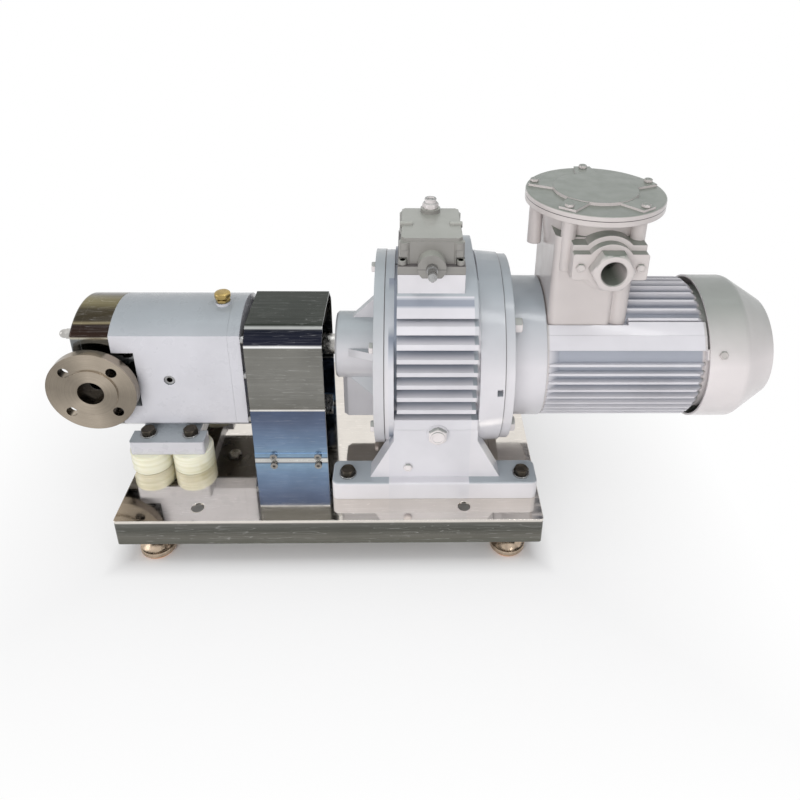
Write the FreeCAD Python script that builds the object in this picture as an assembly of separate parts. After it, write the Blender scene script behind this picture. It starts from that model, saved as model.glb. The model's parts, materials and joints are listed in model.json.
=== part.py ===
"""Rotary lobe sauce transfer pump on a levelled tray, driven through a disc
variator by a finned motor. Millimetres, +Z up, floor at z = 0, the drive axis
along X at y = 0, and the inlet flange facing -Y."""
import FreeCAD
import Part
import os
from math import sin, cos, tan, asin, pi, degrees, radians, hypot, sqrt

V = FreeCAD.Vector

# Tray and levelling feet
tray_len = 536.0
tray_margin = 36.5
tray_skirt = 38.0
sheet_t = 3.0
tray_corner_r = 4.0
tray_hole_r = 8.0
tray_hole_inset_x = 99.0
tray_hole_inset_y = 23.0
tray_start = 16.4
level_h = 36.0
level_inset_x = 39.0
level_inset_y = 30.0
cup_r = 23.0
cup_h = 13.0
pad_r = 21.0
pad_h = 5.0
stud_r = 6.0
boss_r = 11.0
boss_h = 20.0
nut_af = 19.0
nut_h = 10.0

# Heights above the tray
axis_h = 148.0
shaft_gap = 52.0
run = 0.06
clear = 0.3

# Pump head and bearing frame
frame_half = 56.0
frame_bottom = 48.0
frame_chamfer = 10.0
frame_crease = 194.7
frame_crown = 21.0
frame_wall = 9.0
frame_len = 150.0
window_len = 28.0
window_low = 86.0
window_high = 169.0
window_side = 24.0
window_foot = 58.0
bulkhead_t = 20.0
end_cover_t = 16.0
case_t = 36.0
cover_t = 14.0
rotor_w = 24.0
rotor_lobes = 3
rotor_gap = 0.15
shaft_r = 12.5
seal_r = 19.0
seal_len = 20.0
bearing_r = 23.5
bearing_w = 12.0
gear_teeth = 26
gear_w = 20.0
gear_back = 0.35
rotor_nut_af = 19.0
rotor_nut_h = 6.0
cover_stud_r = 4.0
cover_stud_y = 42.0
cover_stud_top = 190.0
cover_stud_low = 62.0
cap_nut_af = 13.0
cap_nut_hex = 7.0
cap_nut_h = 16.5
cover_round = 4.5
ring_d = 3.0
gear_start = 30.0
sight_r = 7.25
sight_z = 127.0
sight_dx = 69.0
drain_r = 6.0
drain_dx = 126.0
vent_r = 5.0
vent_pad = 2.5
vent_y = -6.0
vent_dx = 137.0
end_screw_r = 3.0

# Process flanges
flange_r = 57.5
flange_t = 14.0
flange_face = 78.0
flange_pcd = 85.0
flange_hole_r = 7.0
face_r = 34.0
face_h = 2.0
port_r = 17.0
throat_r = 9.5
neck_r = 22.0

# Foot plate and nylon spacers
spacer_r = 27.0
spacer_h = 28.0
spacer_y = 66.0
spacer_pitch = 56.0
plate_t = 20.0
plate_ear_len = 98.0
plate_neck_len = 78.0
plate_ear_out = 84.5
plate_ear_in = 60.0
plate_offset = 62.0
bolt_r = 5.0
bolt_af = 17.0
bolt_head_h = 7.0
washer_r = 11.0
washer_t = 2.0

# Coupling and guard
guard_len = 99.6
guard_gap = 5.4
guard_half = 64.0
guard_bend = 184.5
guard_top = 206.0
guard_flat = 43.5
guard_t = 2.0
hem_h = 12.0
guard_bracket = 18.0
guard_screw_r = 2.5
guard_screw_x = 26.0
guard_screw_z = 7.5
hub_r = 38.0
hub_len = 28.0
jaw_len = 16.0
jaw_count = 3
spider_bore = 15.0
hub_start = 9.0

# Disc variator
body_half = 111.0
body_wall = 7.0
cavity_r = body_half - body_wall
rim_reach = 27.0
disc_r = cavity_r + rim_reach
nose_r = 45.3
nose_len = 54.2
nose_gap = 13.6
nose_ribs = 5
nose_rib_t = 10.0
cover_disc_t = 13.2
rim_t = 12.0
body_len = 105.0
rear_rim_t = 31.0
rear_rim_reach = 24.0
rear_rim_r = cavity_r + rear_rim_reach
sight_slot_x = 25.0
sight_slot_z = 158.0
sight_slot_len = 7.0
sight_slot_h = 9.0
body_top = 286.0
corner_r = 87.0
rib_depth = 16.0
rib_out = body_half + rib_depth
rib_tip = 6.0
rib_root = 13.0
rib_pitch = 18.3
rib_count = 8
rib_low = 130.0
rib_len = 98.0
rib_slab = 15.7
rib_slab_top = 117.7
sump_edge = 25.0
sump_low = disc_r - sump_edge
sump_run = 47.0
sump_half = 20.0
spigot_r = 94.0
foot_len = 264.0
foot_t = 26.0
foot_past = 11.0
foot_wid = 44.0
foot_out = rib_out + foot_past
foot_in = foot_out - foot_wid
tray_wid = 2 * (foot_out + tray_margin)
leg_half_top = 53.0
leg_half_low = 84.0
leg_knee = 84.0
leg_top = 116.5
leg_t = 26.0
foot_bolt_x = 112.5
foot_nut_h = 8.0
foot_bolt_edge = 18.0
foot_bolt_y = foot_out - foot_bolt_edge
level_plug_z = 96.0
level_plug_af = 22.0
level_plug_dx = 2.0
small_plug_z = 43.0
small_plug_dx = -35.0
out_shaft_r = 14.0
carrier_r = 68.0
carrier_t = 10.0
planet_count = 4
planet_orbit = 52.0
planet_r = 30.0
planet_core = 4.4
planet_rim = 2.6
planet_pin_r = 6.0
sun_r = 27.0
sun_t = 4.0
ring_in = 77.0
ring_t = 12.0
planet_offset = 5.0
pin_offset = 8.5
pin_r = 4.0
pin_mid = 156.0
pin_y = -25.0
nut_half = 12.0
nut_travel = 12.0

# Control box on the variator
box_dx = -7.7
box_len = 81.0
box_front = 85.0
box_rear = 20.0
box_step = 298.4
box_lip = 309.6
box_top = 342.6
box_wall = 9.0
spindle_z = 163.0
spindle_r = 6.5
spindle_out = 117.0
collar_r = 17.0
box_lug_y = -35.0
filler_y = 6.0
filler_af = 18.0
filler_h = 8.0
filler_neck_h = 5.0

# Flameproof motor
motor_flange_r = 125.0
motor_flange_t = 12.0
motor_flange_pcd = 215.0
motor_nut_h = 10.8
bell_r = 95.0
bell_len = 44.0
motor_r = 84.0
fin_r = 94.0
fin_t = 3.4
fin_runout = 17.0
motor_len = 206.0
motor_shaft_r = 12.0
stator_r = 70.0
rotor_r = 46.0
rear_shield_t = 12.0
cowl_r = 96.5
cowl_t = 2.5
cowl_straight = 50.0
cowl_cone = 45.0
cowl_end_r = 67.0
cowl_round = 14.0
fan_r = 68.0
fan_w = 22.0
fan_blades = 7
cowl_screw_angle = 24.0
cowl_screw_dx = 16.5

# Terminal box and cable gland
tbox_x = 103.0
lid_r = 87.0
lid_t = 7.5
lid_rise = 3.0
lid_boss_r = 53.0
lid_top = 375.5
lid_bolts = 5
lid_bolt_ring = 77.0
lid_turn = 18.0
lid_column_r = 9.0
lid_column_len = 74.0
lid_column_ring = 71.6
bowl_r = 66.0
bowl_h = 50.0
bowl_wall = 8.0
neck_len = 80.0
neck_half = 62.0
neck_base = 214.0
gland_dx = 4.0
gland_z = 312.0
entry_r = 36.0
entry_out = 80.0
gland_t = 11.0
gland_len = 90.0
gland_ear_h = 34.0
gland_ear_round = 3.0
gland_screw_dx = 35.5
gland_nut_af = 46.0
lid_bolt_r = 3.0
lid_bolt_af = 10.0
lid_bolt_len = 22.0
gland_screw_len = 20.0
gland_nut_h = 18.0
gland_bore_r = 15.0

# Places worked out from the sizes
deck = level_h + tray_skirt
axis = deck + axis_h
low_axis = axis - shaft_gap
port_z = axis - shaft_gap / 2
rotor_pitch = shaft_gap / 2
rotor_roll = rotor_pitch / (2 * rotor_lobes)
chamber_r = rotor_pitch + 2 * rotor_roll + 0.2
head_to_disc = nose_len + nose_gap + guard_len + guard_gap + end_cover_t + frame_len
port_to_disc = head_to_disc + case_t - rotor_w / 2 + 1.5
motor_to_disc = cover_disc_t + 2 * rim_t + body_len - rim_t + rear_rim_t
end_to_disc = motor_to_disc + motor_flange_t + bell_len + motor_len + cowl_straight + cowl_cone
x_disc = (port_to_disc + flange_r - end_to_disc) / 2
x_nose = x_disc - nose_len
x_guard1 = x_nose - nose_gap
x_guard0 = x_guard1 - guard_len
x_end = x_guard0 - guard_gap
x_frame1 = x_end - end_cover_t
x_frame0 = x_frame1 - frame_len
x_case0 = x_frame0 - case_t
x_cover0 = x_case0 - cover_t
x_port = x_disc - port_to_disc
x_bulk = x_frame0 + window_len
x_rim = x_disc + cover_disc_t
x_body = x_rim + rim_t
x_rear = x_body + body_len
x_motor = x_rear + rear_rim_t
x_slot = x_rear + sight_slot_x - sight_slot_len / 2
x_bell = x_motor + motor_flange_t
x_fins = x_bell + bell_len
x_cowl = x_fins + motor_len
x_shield = x_cowl - 2
x_cone = x_cowl + cowl_straight
x_cowl_end = x_cone + cowl_cone
x_ribs = x_body + body_len / 2
x_foot = x_ribs
x_tbox = x_bell + tbox_x
x_neck = x_tbox - 57
x_box = x_ribs + box_dx
x_tray = x_frame0 + tray_start + tray_len / 2
x_plate = x_frame0 + plate_offset
x_sight = x_frame0 + sight_dx
x_drain = x_frame0 + drain_dx
x_vent = x_frame0 + vent_dx
x_gear = x_bulk + bulkhead_t + gear_start
x_hub0 = x_guard0 + hub_start
x_planets = x_ribs + planet_offset
x_pin = x_planets + pin_offset
pin_angle = degrees(asin(-pin_y / pin_mid))
x_cowl_screw = x_cowl + cowl_screw_dx


def box(x0, x1, y0, y1, z0, z1):
    return Part.makeBox(x1 - x0, y1 - y0, z1 - z0, V(x0, y0, z0))


def rod_x(r, x0, x1, y=0.0, z=None):
    z = axis if z is None else z
    return Part.makeCylinder(r, x1 - x0, V(x0, y, z), V(1, 0, 0))


def rod_y(r, y0, y1, x, z):
    return Part.makeCylinder(r, y1 - y0, V(x, y0, z), V(0, 1, 0))


def rod_z(r, z0, z1, x, y):
    return Part.makeCylinder(r, z1 - z0, V(x, y, z0), V(0, 0, 1))


def polygon(points):
    return Part.Face(Part.makePolygon([V(*p) for p in points + points[:1]]))


def turned(points, z=None, y=0.0):
    """Solid turned about an X axis from (x, radius) points."""
    z = axis if z is None else z
    face = polygon([(x, y, z + r) for x, r in points])
    return face.revolve(V(0, y, z), V(1, 0, 0), 360)


def hexagon(af, height, base, normal, turn=0.0):
    """Hexagonal prism across flats af, from base along normal."""
    r = af / 2 / cos(pi / 6)
    corners = [V(r * cos(turn + k * pi / 3), r * sin(turn + k * pi / 3), 0) for k in range(7)]
    prism = Part.Face(Part.makePolygon(corners)).extrude(V(0, 0, height))
    prism.Placement = FreeCAD.Placement(base, FreeCAD.Rotation(V(0, 0, 1), normal))
    return prism


def join(shapes):
    first = shapes[0]
    if len(shapes) > 1:
        first = first.fuse(shapes[1:]).removeSplitter()
    return first


def group(shapes):
    return Part.makeCompound(shapes)


def mirrored(shape):
    return shape.mirror(V(0, 0, 0), V(0, 1, 0))


def spin(shape, degrees, z=None, y=0.0):
    z = axis if z is None else z
    turned_copy = shape.copy()
    turned_copy.rotate(V(0, y, z), V(1, 0, 0), degrees)
    return turned_copy


def hex_bolt(r, af, head, length, seat, normal):
    """Shank into the work and a hexagon head on the seat point."""
    shank = Part.makeCylinder(r, length, seat, normal.negative())
    return join([hexagon(af, head, seat, normal), shank])


def frame_outline(x, inset=0.0):
    """Flat-sided outline with chamfered foot and a shallow crown."""
    h = frame_half - inset
    low = deck + frame_bottom + inset
    side = deck + frame_crease - inset / 2
    top = deck + frame_crease + frame_crown - inset
    c = frame_chamfer
    crown = Part.Arc(V(x, -h, side), V(x, 0, top), V(x, h, side)).toShape()
    rest = Part.makePolygon([V(x, h, side), V(x, h, low + c), V(x, h - c, low),
                             V(x, c - h, low), V(x, -h, low + c), V(x, -h, side)])
    return Part.Face(Part.Wire([crown] + rest.Edges))


def tray():
    """Folded stainless tray, open underneath, with four foot bosses."""
    x0 = x_tray - tray_len / 2
    x1 = x_tray + tray_len / 2
    half = tray_wid / 2
    outer = box(x0, x1, -half, half, level_h, deck)
    rims = [e for e in outer.Edges if e.BoundBox.ZLength > 1]
    outer = outer.makeFillet(tray_corner_r, rims)
    inner = box(x0 + sheet_t, x1 - sheet_t, sheet_t - half, half - sheet_t, level_h - 1, deck - sheet_t)
    body = outer.cut(inner)
    bosses = []
    cuts = []
    for x, y in level_places():
        bosses.append(rod_z(boss_r, deck - sheet_t - boss_h, deck - sheet_t, x, y))
        cuts.append(rod_z(stud_r + run, deck - sheet_t - boss_h - 1, deck - sheet_t, x, y))
    for sx in (-1, 1):
        for sy in (-1, 1):
            x = x_tray + sx * (tray_len / 2 - tray_hole_inset_x)
            y = sy * (half - tray_hole_inset_y)
            cuts.append(rod_z(tray_hole_r, deck - sheet_t - 1, deck + 1, x, y))
    for x, y in spacer_places():
        cuts.append(rod_z(bolt_r + run, deck - sheet_t - 1, deck + 1, x, y))
    for x, y in foot_bolt_places():
        cuts.append(rod_z(bolt_r + run, deck - sheet_t - 1, deck + 1, x, y))
    for x in guard_screw_places():
        for y in guard_anchor_places():
            cuts.append(rod_z(guard_screw_r + run, deck - sheet_t - 1, deck + 1, x, y))
    return join([body] + bosses).cut(cuts)


def level_places():
    half_x = tray_len / 2 - level_inset_x
    half_y = tray_wid / 2 - level_inset_y
    return [(x_tray + sx * half_x, sy * half_y) for sx in (-1, 1) for sy in (-1, 1)]


def spacer_places():
    return [(x_plate + s * spacer_pitch / 2, t * spacer_y) for s in (-1, 1) for t in (-1, 1)]


def foot_bolt_places():
    return [(x_foot + s * foot_bolt_x, t * foot_bolt_y) for s in (-1, 1) for t in (-1, 1)]


def guard_screw_places():
    middle = (x_guard0 + x_guard1) / 2
    return [middle - guard_len / 2 + guard_screw_x, middle + guard_len / 2 - guard_screw_x / 2]


def guard_anchor_places():
    inside = guard_half - guard_t - guard_bracket / 2
    return [-inside, inside]


def levelling_feet():
    cups = []
    pads = []
    nuts = []
    for x, y in level_places():
        cup = rod_z(cup_r, pad_h - 2, pad_h + 4, x, y)
        dome = Part.makeCone(cup_r, stud_r * 2, cup_h - 4, V(x, y, pad_h + 4), V(0, 0, 1))
        pocket = rod_z(pad_r + run, pad_h - 3, pad_h, x, y)
        stud = rod_z(stud_r, pad_h + 4, deck - sheet_t - 1, x, y)
        cups.append(join([cup, dome, stud]).cut(pocket))
        pads.append(rod_z(pad_r, 0, pad_h, x, y))
        lock = hexagon(nut_af, nut_h, V(x, y, deck - sheet_t - boss_h - nut_h), V(0, 0, 1))
        nuts.append(lock.cut(rod_z(stud_r + run, 0, deck, x, y)))
    return [("levelling_studs", group(cups)), ("levelling_pads", group(pads)),
            ("levelling_lock_nuts", group(nuts))]


def foot_plate():
    """H-shaped cast plate: an ear over each pair of spacers, a neck between."""
    z0 = deck + spacer_h
    z1 = z0 + plate_t
    ear = plate_ear_len / 2
    neck = plate_neck_len / 2
    parts = [box(x_plate - neck, x_plate + neck, -plate_ear_in - 1, plate_ear_in + 1, z0, z1)]
    for s in (-1, 1):
        near, far = sorted((s * plate_ear_in, s * plate_ear_out))
        lug = box(x_plate - ear, x_plate + ear, near, far, z0, z1)
        parts.append(lug)
    plate = join(parts)
    tall = [e for e in plate.Edges
            if e.BoundBox.ZLength > plate_t - 1 and abs(e.BoundBox.Center.y) > plate_ear_out - 1]
    plate = plate.makeFillet(4.0, tall)
    return plate.cut([rod_z(bolt_r + run, z0 - 1, z1 + 1, x, y) for x, y in spacer_places()])


def pump_feet():
    z1 = deck + spacer_h + plate_t
    spacers = []
    bolts = []
    washers = []
    nuts = []
    for x, y in spacer_places():
        bore = rod_z(bolt_r + run, deck - 1, z1, x, y)
        spool = rod_z(spacer_r, deck, deck + spacer_h, x, y)
        spacers.append(spool.cut(bore))
        washer = rod_z(washer_r, z1, z1 + washer_t, x, y)
        washers.append(washer.cut(rod_z(bolt_r + run, z1 - 1, z1 + washer_t + 1, x, y)))
        seat = V(x, y, z1 + washer_t)
        reach = plate_t + spacer_h + washer_t + sheet_t + 12
        bolts.append(hex_bolt(bolt_r, bolt_af, bolt_head_h, reach, seat, V(0, 0, 1)))
        low = deck - sheet_t - foot_nut_h
        nut = hexagon(bolt_af, foot_nut_h, V(x, y, low), V(0, 0, 1))
        nuts.append(nut.cut(rod_z(bolt_r + run, low - 1, deck, x, y)))
    return [("nylon_spacers", group(spacers)), ("foot_plate", foot_plate()),
            ("foot_plate_washers", group(washers)), ("foot_plate_bolts", group(bolts)),
            ("foot_plate_nuts", group(nuts))]


def bearing_frame():
    """Cast frame: open seal window, bearing bulkhead, gear chamber."""
    shell = frame_outline(x_frame0).extrude(V(frame_len, 0, 0))
    hollow = frame_outline(x_bulk + bulkhead_t, frame_wall)
    hollow = hollow.extrude(V(x_frame1 + 1 - x_bulk - bulkhead_t, 0, 0))
    window = box(x_frame0 - 1, x_bulk, -frame_half - 1, frame_half + 1,
                 deck + window_low, deck + window_high)
    slot = box(x_frame0 - 1, x_bulk, window_side - frame_half, frame_half - window_side,
               deck + window_foot, deck + window_high)
    cuts = [hollow, window, slot]
    x_wall = x_bulk + bulkhead_t
    for z in (axis, low_axis):
        cuts.append(rod_x(bearing_r + run / 2, x_wall - bearing_w - 2, x_wall + 1, z=z))
        cuts.append(rod_x(shaft_r + 3, x_bulk - 1, x_wall, z=z))
    cuts.append(rod_y(sight_r, -frame_half - 1, frame_wall - frame_half + 1, x_sight, deck + sight_z))
    cuts.append(rod_z(drain_r, deck + frame_bottom - 1, deck + frame_bottom + frame_wall + 1, x_drain, 0))
    cuts.append(rod_z(vent_r, deck + 190, deck + 230, x_vent, vent_y))
    pad_z = deck + frame_crease + frame_crown
    boss = rod_z(vent_r + 5, pad_z - 12, pad_z + vent_pad, x_vent, vent_y)
    frame = join([shell, boss]).cut(cuts)
    cuts = [rod_x(cover_stud_r + run, x_frame0 - 1, x_frame0 + 20, y, z) for x, y, z in stud_places()]
    cuts += [rod_x(end_screw_r + run, x_frame1 - 10, x_frame1 + 1, y, z) for y, z in end_screw_places()]
    return frame.cut(cuts)


def stud_places():
    return [(x_cover0, s * cover_stud_y, deck + h)
            for s in (-1, 1) for h in (cover_stud_top, cover_stud_low)]


def end_cover():
    plate = frame_outline(x_frame1).extrude(V(end_cover_t, 0, 0))
    cuts = [rod_x(bearing_r + run / 2, x_frame1 - 1, x_frame1 + bearing_w, z=z) for z in (axis, low_axis)]
    cuts.append(rod_x(shaft_r + 6, x_frame1, x_end + 1))
    cuts += [rod_x(end_screw_r + run, x_frame1 - 1, x_end + 1, y, z) for y, z in end_screw_places()]
    return plate.cut(cuts)


def end_screw_places():
    side = frame_half - frame_wall / 2
    low = deck + frame_bottom + frame_chamfer + 4
    places = [(s * side, z) for s in (-1, 1) for z in (low, port_z + 10, deck + frame_crease - 8)]
    return places


def pump_case():
    """Rotor case: two crossing bores, seal seats behind, a port each side."""
    case = frame_outline(x_case0).extrude(V(case_t, 0, 0))
    cuts = []
    x_back = x_case0 + rotor_w + 0.4
    for z in (axis, low_axis):
        cuts.append(rod_x(chamber_r, x_case0 - 1, x_back, z=z))
        cuts.append(rod_x(shaft_r + 1, x_case0, x_frame0 + 1, z=z))
        cuts.append(rod_x(seal_r + run, x_back + 3, x_frame0 + 1, z=z))
    cuts.append(rod_y(throat_r, -frame_half - 1, frame_half + 1, x_port, port_z))
    for x, y, z in stud_places():
        cuts.append(rod_x(cover_stud_r + run, x_case0 - 1, x_frame0 + 1, y, z))
    return case.cut(cuts)


def seal_loop(r):
    """Stadium-shaped O-ring set in the cover round both bores."""
    reach = chamber_r + 4
    x = x_case0 - ring_d / 2
    path = Part.Wire([
        Part.LineSegment(V(x, -reach, low_axis), V(x, -reach, axis)).toShape(),
        Part.Arc(V(x, -reach, axis), V(x, 0, axis + reach), V(x, reach, axis)).toShape(),
        Part.LineSegment(V(x, reach, axis), V(x, reach, low_axis)).toShape(),
        Part.Arc(V(x, reach, low_axis), V(x, 0, low_axis - reach), V(x, -reach, low_axis)).toShape()])
    hoop = Part.Wire(Part.makeCircle(r, V(x, -reach, low_axis), V(0, 0, 1)))
    return path.makePipeShell([hoop], True, False)


def front_cover():
    cover = frame_outline(x_cover0).extrude(V(cover_t, 0, 0))
    cover = cover.makeFillet(cover_round, [e for e in cover.Edges if e.BoundBox.XMax < x_cover0 + 0.1])
    cuts = [rod_x(15, x_case0 - rotor_nut_h - 2, x_case0 + 1, z=z) for z in (axis, low_axis)]
    for x, y, z in stud_places():
        cuts.append(rod_x(cover_stud_r + run, x_cover0 - 1, x_case0 + 1, y, z))
    return cover.cut(cuts).cut(seal_loop(ring_d / 2 + run))


def cap_nut(x, y, z):
    """Hexagon with a round dome, blind bore for the stud."""
    r = cap_nut_af * 0.45
    top = x - cap_nut_h + r
    hexa = hexagon(cap_nut_af, cap_nut_hex, V(x, y, z), V(-1, 0, 0))
    dome = join([rod_x(r, top, x - 1, y, z), Part.makeSphere(r, V(top, y, z))])
    return join([hexa, dome]).cut(rod_x(cover_stud_r + run, top, x + 1, y, z))


def cover_fasteners():
    nuts = [cap_nut(x, y, z) for x, y, z in stud_places()]
    studs = [rod_x(cover_stud_r, x - cap_nut_h * 0.5, x_frame0 + 18, y, z) for x, y, z in stud_places()]
    return [("cover_cap_nuts", group(nuts)), ("cover_studs", group(studs))]


def process_flange():
    """Weld-neck flange with a raised sealing face, facing -Y."""
    plate = rod_y(flange_r, face_h - flange_face, flange_t - flange_face, x_port, port_z)
    face = rod_y(face_r, -flange_face, face_h + 1 - flange_face, x_port, port_z)
    neck = rod_y(neck_r, flange_t - flange_face, -frame_half, x_port, port_z)
    holes = []
    for k in range(4):
        a = pi / 4 + k * pi / 2
        x = x_port + flange_pcd / 2 * cos(a)
        z = port_z + flange_pcd / 2 * sin(a)
        holes.append(rod_y(flange_hole_r, -flange_face - 1, flange_t - flange_face + 1, x, z))
    holes.append(rod_y(port_r, -flange_face - 1, 1 - frame_half, x_port, port_z))
    return join([plate, face, neck]).cut(holes)


def lobe_rotor(z, turn):
    """Three-lobe rotor: rolled outer curves for tips, inner for roots."""
    n = rotor_lobes
    arcs = []
    steps = 8
    for k in range(2 * n):
        tip = k % 2 == 0
        start = turn + (k - 0.5) * pi / n
        points = []
        for j in range(steps + 1):
            t = start + j / steps * pi / n
            points.append(rolled_point(t, start, tip, z))
        arcs.append(points)
    edges = []
    for i, points in enumerate(arcs):
        points[-1] = arcs[(i + 1) % len(arcs)][0]
        curve = Part.BSplineCurve()
        curve.interpolate(points)
        edges.append(curve.toShape())
    face = Part.Face(Part.Wire(edges))
    blank = face.extrude(V(rotor_w, 0, 0))
    return blank.cut(rod_x(shaft_r - 2.5 + run / 2, x_case0, x_case0 + rotor_w + 1, z=z))


def rolled_point(t, start, tip, z):
    """A point of a circle rolled on the pitch circle, drawn in by the gap."""
    q = rotor_roll
    sign = 1 if tip else -1
    turn = (t - start) * rotor_pitch / q
    centre = rotor_pitch + sign * q
    phase = t + (turn if tip else -turn)
    u = centre * cos(t) - sign * q * cos(phase)
    v = centre * sin(t) - sign * q * sin(phase)
    r = hypot(u, v)
    shrink = (r - rotor_gap) / r
    return V(x_case0 + 0.2, u * shrink, z + v * shrink)


def timing_gear(z, turn):
    """Straight-toothed timing gear with trapezoid flanks and backlash."""
    module = shaft_gap / gear_teeth
    root = shaft_gap / 2 - 1.2 * module
    tip = shaft_gap / 2 + 0.92 * module
    pitch_angle = 2 * pi / gear_teeth
    half = pitch_angle / 4 - gear_back / shaft_gap
    slope = tan(radians(20))
    points = []
    for k in range(gear_teeth):
        mid = turn + k * pitch_angle
        for r, s in ((root, -1), (tip, -1), (tip, 1), (root, 1)):
            a = half - (r - shaft_gap / 2) * slope / r
            points.append((x_gear, r * cos(mid + s * a), z + r * sin(mid + s * a)))
    blank = polygon(points).extrude(V(gear_w, 0, 0))
    return blank.cut(rod_x(shaft_r + 2.5 + run / 2, x_gear - 1, x_gear + gear_w + 1, z=z))


def pump_shaft(z, x_right):
    """Stepped shaft: rotor seat, seal and bearing seat, gear seat, end."""
    r = shaft_r
    x_gear1 = x_gear + gear_w
    return turned([(x_case0 - rotor_nut_h, 0), (x_case0 - rotor_nut_h, 6), (x_case0 + 0.2, 6),
                   (x_case0 + 0.2, r - 2.5), (x_case0 + 0.2 + rotor_w, r - 2.5),
                   (x_case0 + 0.2 + rotor_w, r), (x_gear, r), (x_gear, r + 2.5), (x_gear1, r + 2.5),
                   (x_gear1, r), (x_right, r), (x_right, 0)], z)


def rotor_nut(z):
    nut = hexagon(rotor_nut_af, rotor_nut_h, V(x_case0 + 0.2, 0, z), V(-1, 0, 0))
    return nut.cut(rod_x(6 + run / 2, x_case0 - 20, x_case0 + 1, z=z))


def ring_x(r_out, r_in, x0, x1, z=None):
    return rod_x(r_out, x0, x1, z=z).cut(rod_x(r_in, x0 - 1, x1 + 1, z=z))


def pump_inside():
    seals = []
    bearings = []
    x_seal = x_case0 + rotor_w + 3.4
    for z in (axis, low_axis):
        body = ring_x(seal_r, shaft_r + run, x_seal, x_seal + seal_len * 0.6, z)
        nose = ring_x(seal_r - 3, shaft_r + run, x_seal + seal_len * 0.6, x_seal + seal_len, z)
        seals.append(join([body, nose]))
        x_b = x_bulk + bulkhead_t - bearing_w
        bearings.append(ring_x(bearing_r, shaft_r + run, x_b, x_b + bearing_w, z))
        bearings.append(ring_x(bearing_r, shaft_r + run, x_frame1, x_frame1 + bearing_w, z))
    lip = ring_x(shaft_r + 6, shaft_r + run, x_frame1 + bearing_w, x_end)
    low_end = x_frame1 + bearing_w
    return [("shaft_seals", group(seals)), ("pump_bearings", group(bearings)),
            ("drive_shaft_lip_seal", lip),
            ("pump_drive_shaft", pump_shaft(axis, x_hub0 + hub_len)),
            ("pump_driven_shaft", pump_shaft(low_axis, low_end)),
            ("drive_rotor", lobe_rotor(axis, -pi / 2)),
            ("driven_rotor", lobe_rotor(low_axis, -pi / 2)),
            ("drive_rotor_nut", rotor_nut(axis)), ("driven_rotor_nut", rotor_nut(low_axis)),
            ("drive_timing_gear", timing_gear(axis, -pi / 2)),
            ("driven_timing_gear", timing_gear(low_axis, pi / 2 + pi / gear_teeth))]


def frame_plugs():
    vent_z = deck + frame_crease + frame_crown + vent_pad
    vent = join([rod_z(vent_r, vent_z - 8, vent_z, x_vent, vent_y),
                 hexagon(17, 5, V(x_vent, vent_y, vent_z), V(0, 0, 1)),
                 rod_z(10.5, vent_z + 5, vent_z + 14, x_vent, vent_y)])
    vent = vent.makeFillet(3, [e for e in vent.Edges if e.BoundBox.ZMin > vent_z + 13 and e.Length > 20])
    sight = rod_y(sight_r - run, 1 - frame_half, frame_wall - frame_half, x_sight, deck + sight_z)
    socket = hexagon(6, 5, V(x_sight, -frame_half, deck + sight_z), V(0, 1, 0))
    low = deck + frame_bottom
    drain = join([rod_z(drain_r - run, low, low + frame_wall, x_drain, 0),
                  hexagon(17, 6, V(x_drain, 0, low - 6), V(0, 0, 1))])
    screws = []
    for y, z in end_screw_places():
        head = rod_x(5, x_end, x_end + 4.5, y, z)
        screws.append(join([head, rod_x(end_screw_r, x_frame1 - 8, x_end + 1, y, z)]).cut(
            hexagon(5, 3, V(x_end + 4.5, y, z), V(-1, 0, 0))))
    return [("brass_breather", vent), ("oil_sight_plug", sight.cut(socket)), ("frame_drain_plug", drain),
            ("end_cover_screws", group(screws))]


def jaw_sector(r_in, r_out, x0, x1, middle, width):
    """A block of a ring between two radii, width in degrees."""
    ring = ring_x(r_out, r_in, x0, x1)
    reach = 2 * r_out
    a0 = radians(middle - width / 2)
    a1 = radians(middle + width / 2)
    wedge = polygon([(x0, 0, axis), (x0, reach * cos(a0), axis + reach * sin(a0)),
                     (x0, reach * cos(a1), axis + reach * sin(a1))]).extrude(V(x1 - x0, 0, 0))
    return ring.common(wedge)


def coupling():
    """Jaw coupling: two hubs and a rubber spider between their jaws."""
    step = 360 / jaw_count
    x1 = x_hub0 + hub_len
    x2 = x1 + jaw_len
    jaws_a = [jaw_sector(spider_bore + 3, hub_r, x1 - 1, x2 - 1, k * step, step / 2 - 14)
              for k in range(jaw_count)]
    jaws_b = [jaw_sector(spider_bore + 3, hub_r, x1 + 1, x2 + 1, (k + 0.5) * step, step / 2 - 14)
              for k in range(jaw_count)]
    hub_a = join([ring_x(hub_r, shaft_r, x_hub0, x1)] + jaws_a)
    hub_b = join([ring_x(hub_r, out_shaft_r, x2, x2 + hub_len)] + jaws_b)
    legs = [jaw_sector(spider_bore, hub_r - 1, x1 + 1, x2 - 1, (k + 0.5) * step / 2, 13.4)
            for k in range(2 * jaw_count)]
    spider = join([ring_x(spider_bore + 2.6, spider_bore - 2, x1 + 1, x2 - 1)] + legs)
    return [("pump_coupling_hub", hub_a), ("variator_coupling_hub", hub_b), ("coupling_spider", spider)]


def guard_outline(offset):
    """Half-octagon hood line, moved inwards by offset."""
    h = guard_half - offset
    f = guard_flat - offset * tan(radians(22.5))
    top = deck + guard_top - offset
    bend = deck + guard_bend - offset * tan(radians(22.5))
    return [(-h, deck - (5 if offset else 0)), (-h, bend), (-f, top), (f, top), (h, bend),
            (h, deck - (5 if offset else 0))]


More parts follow.
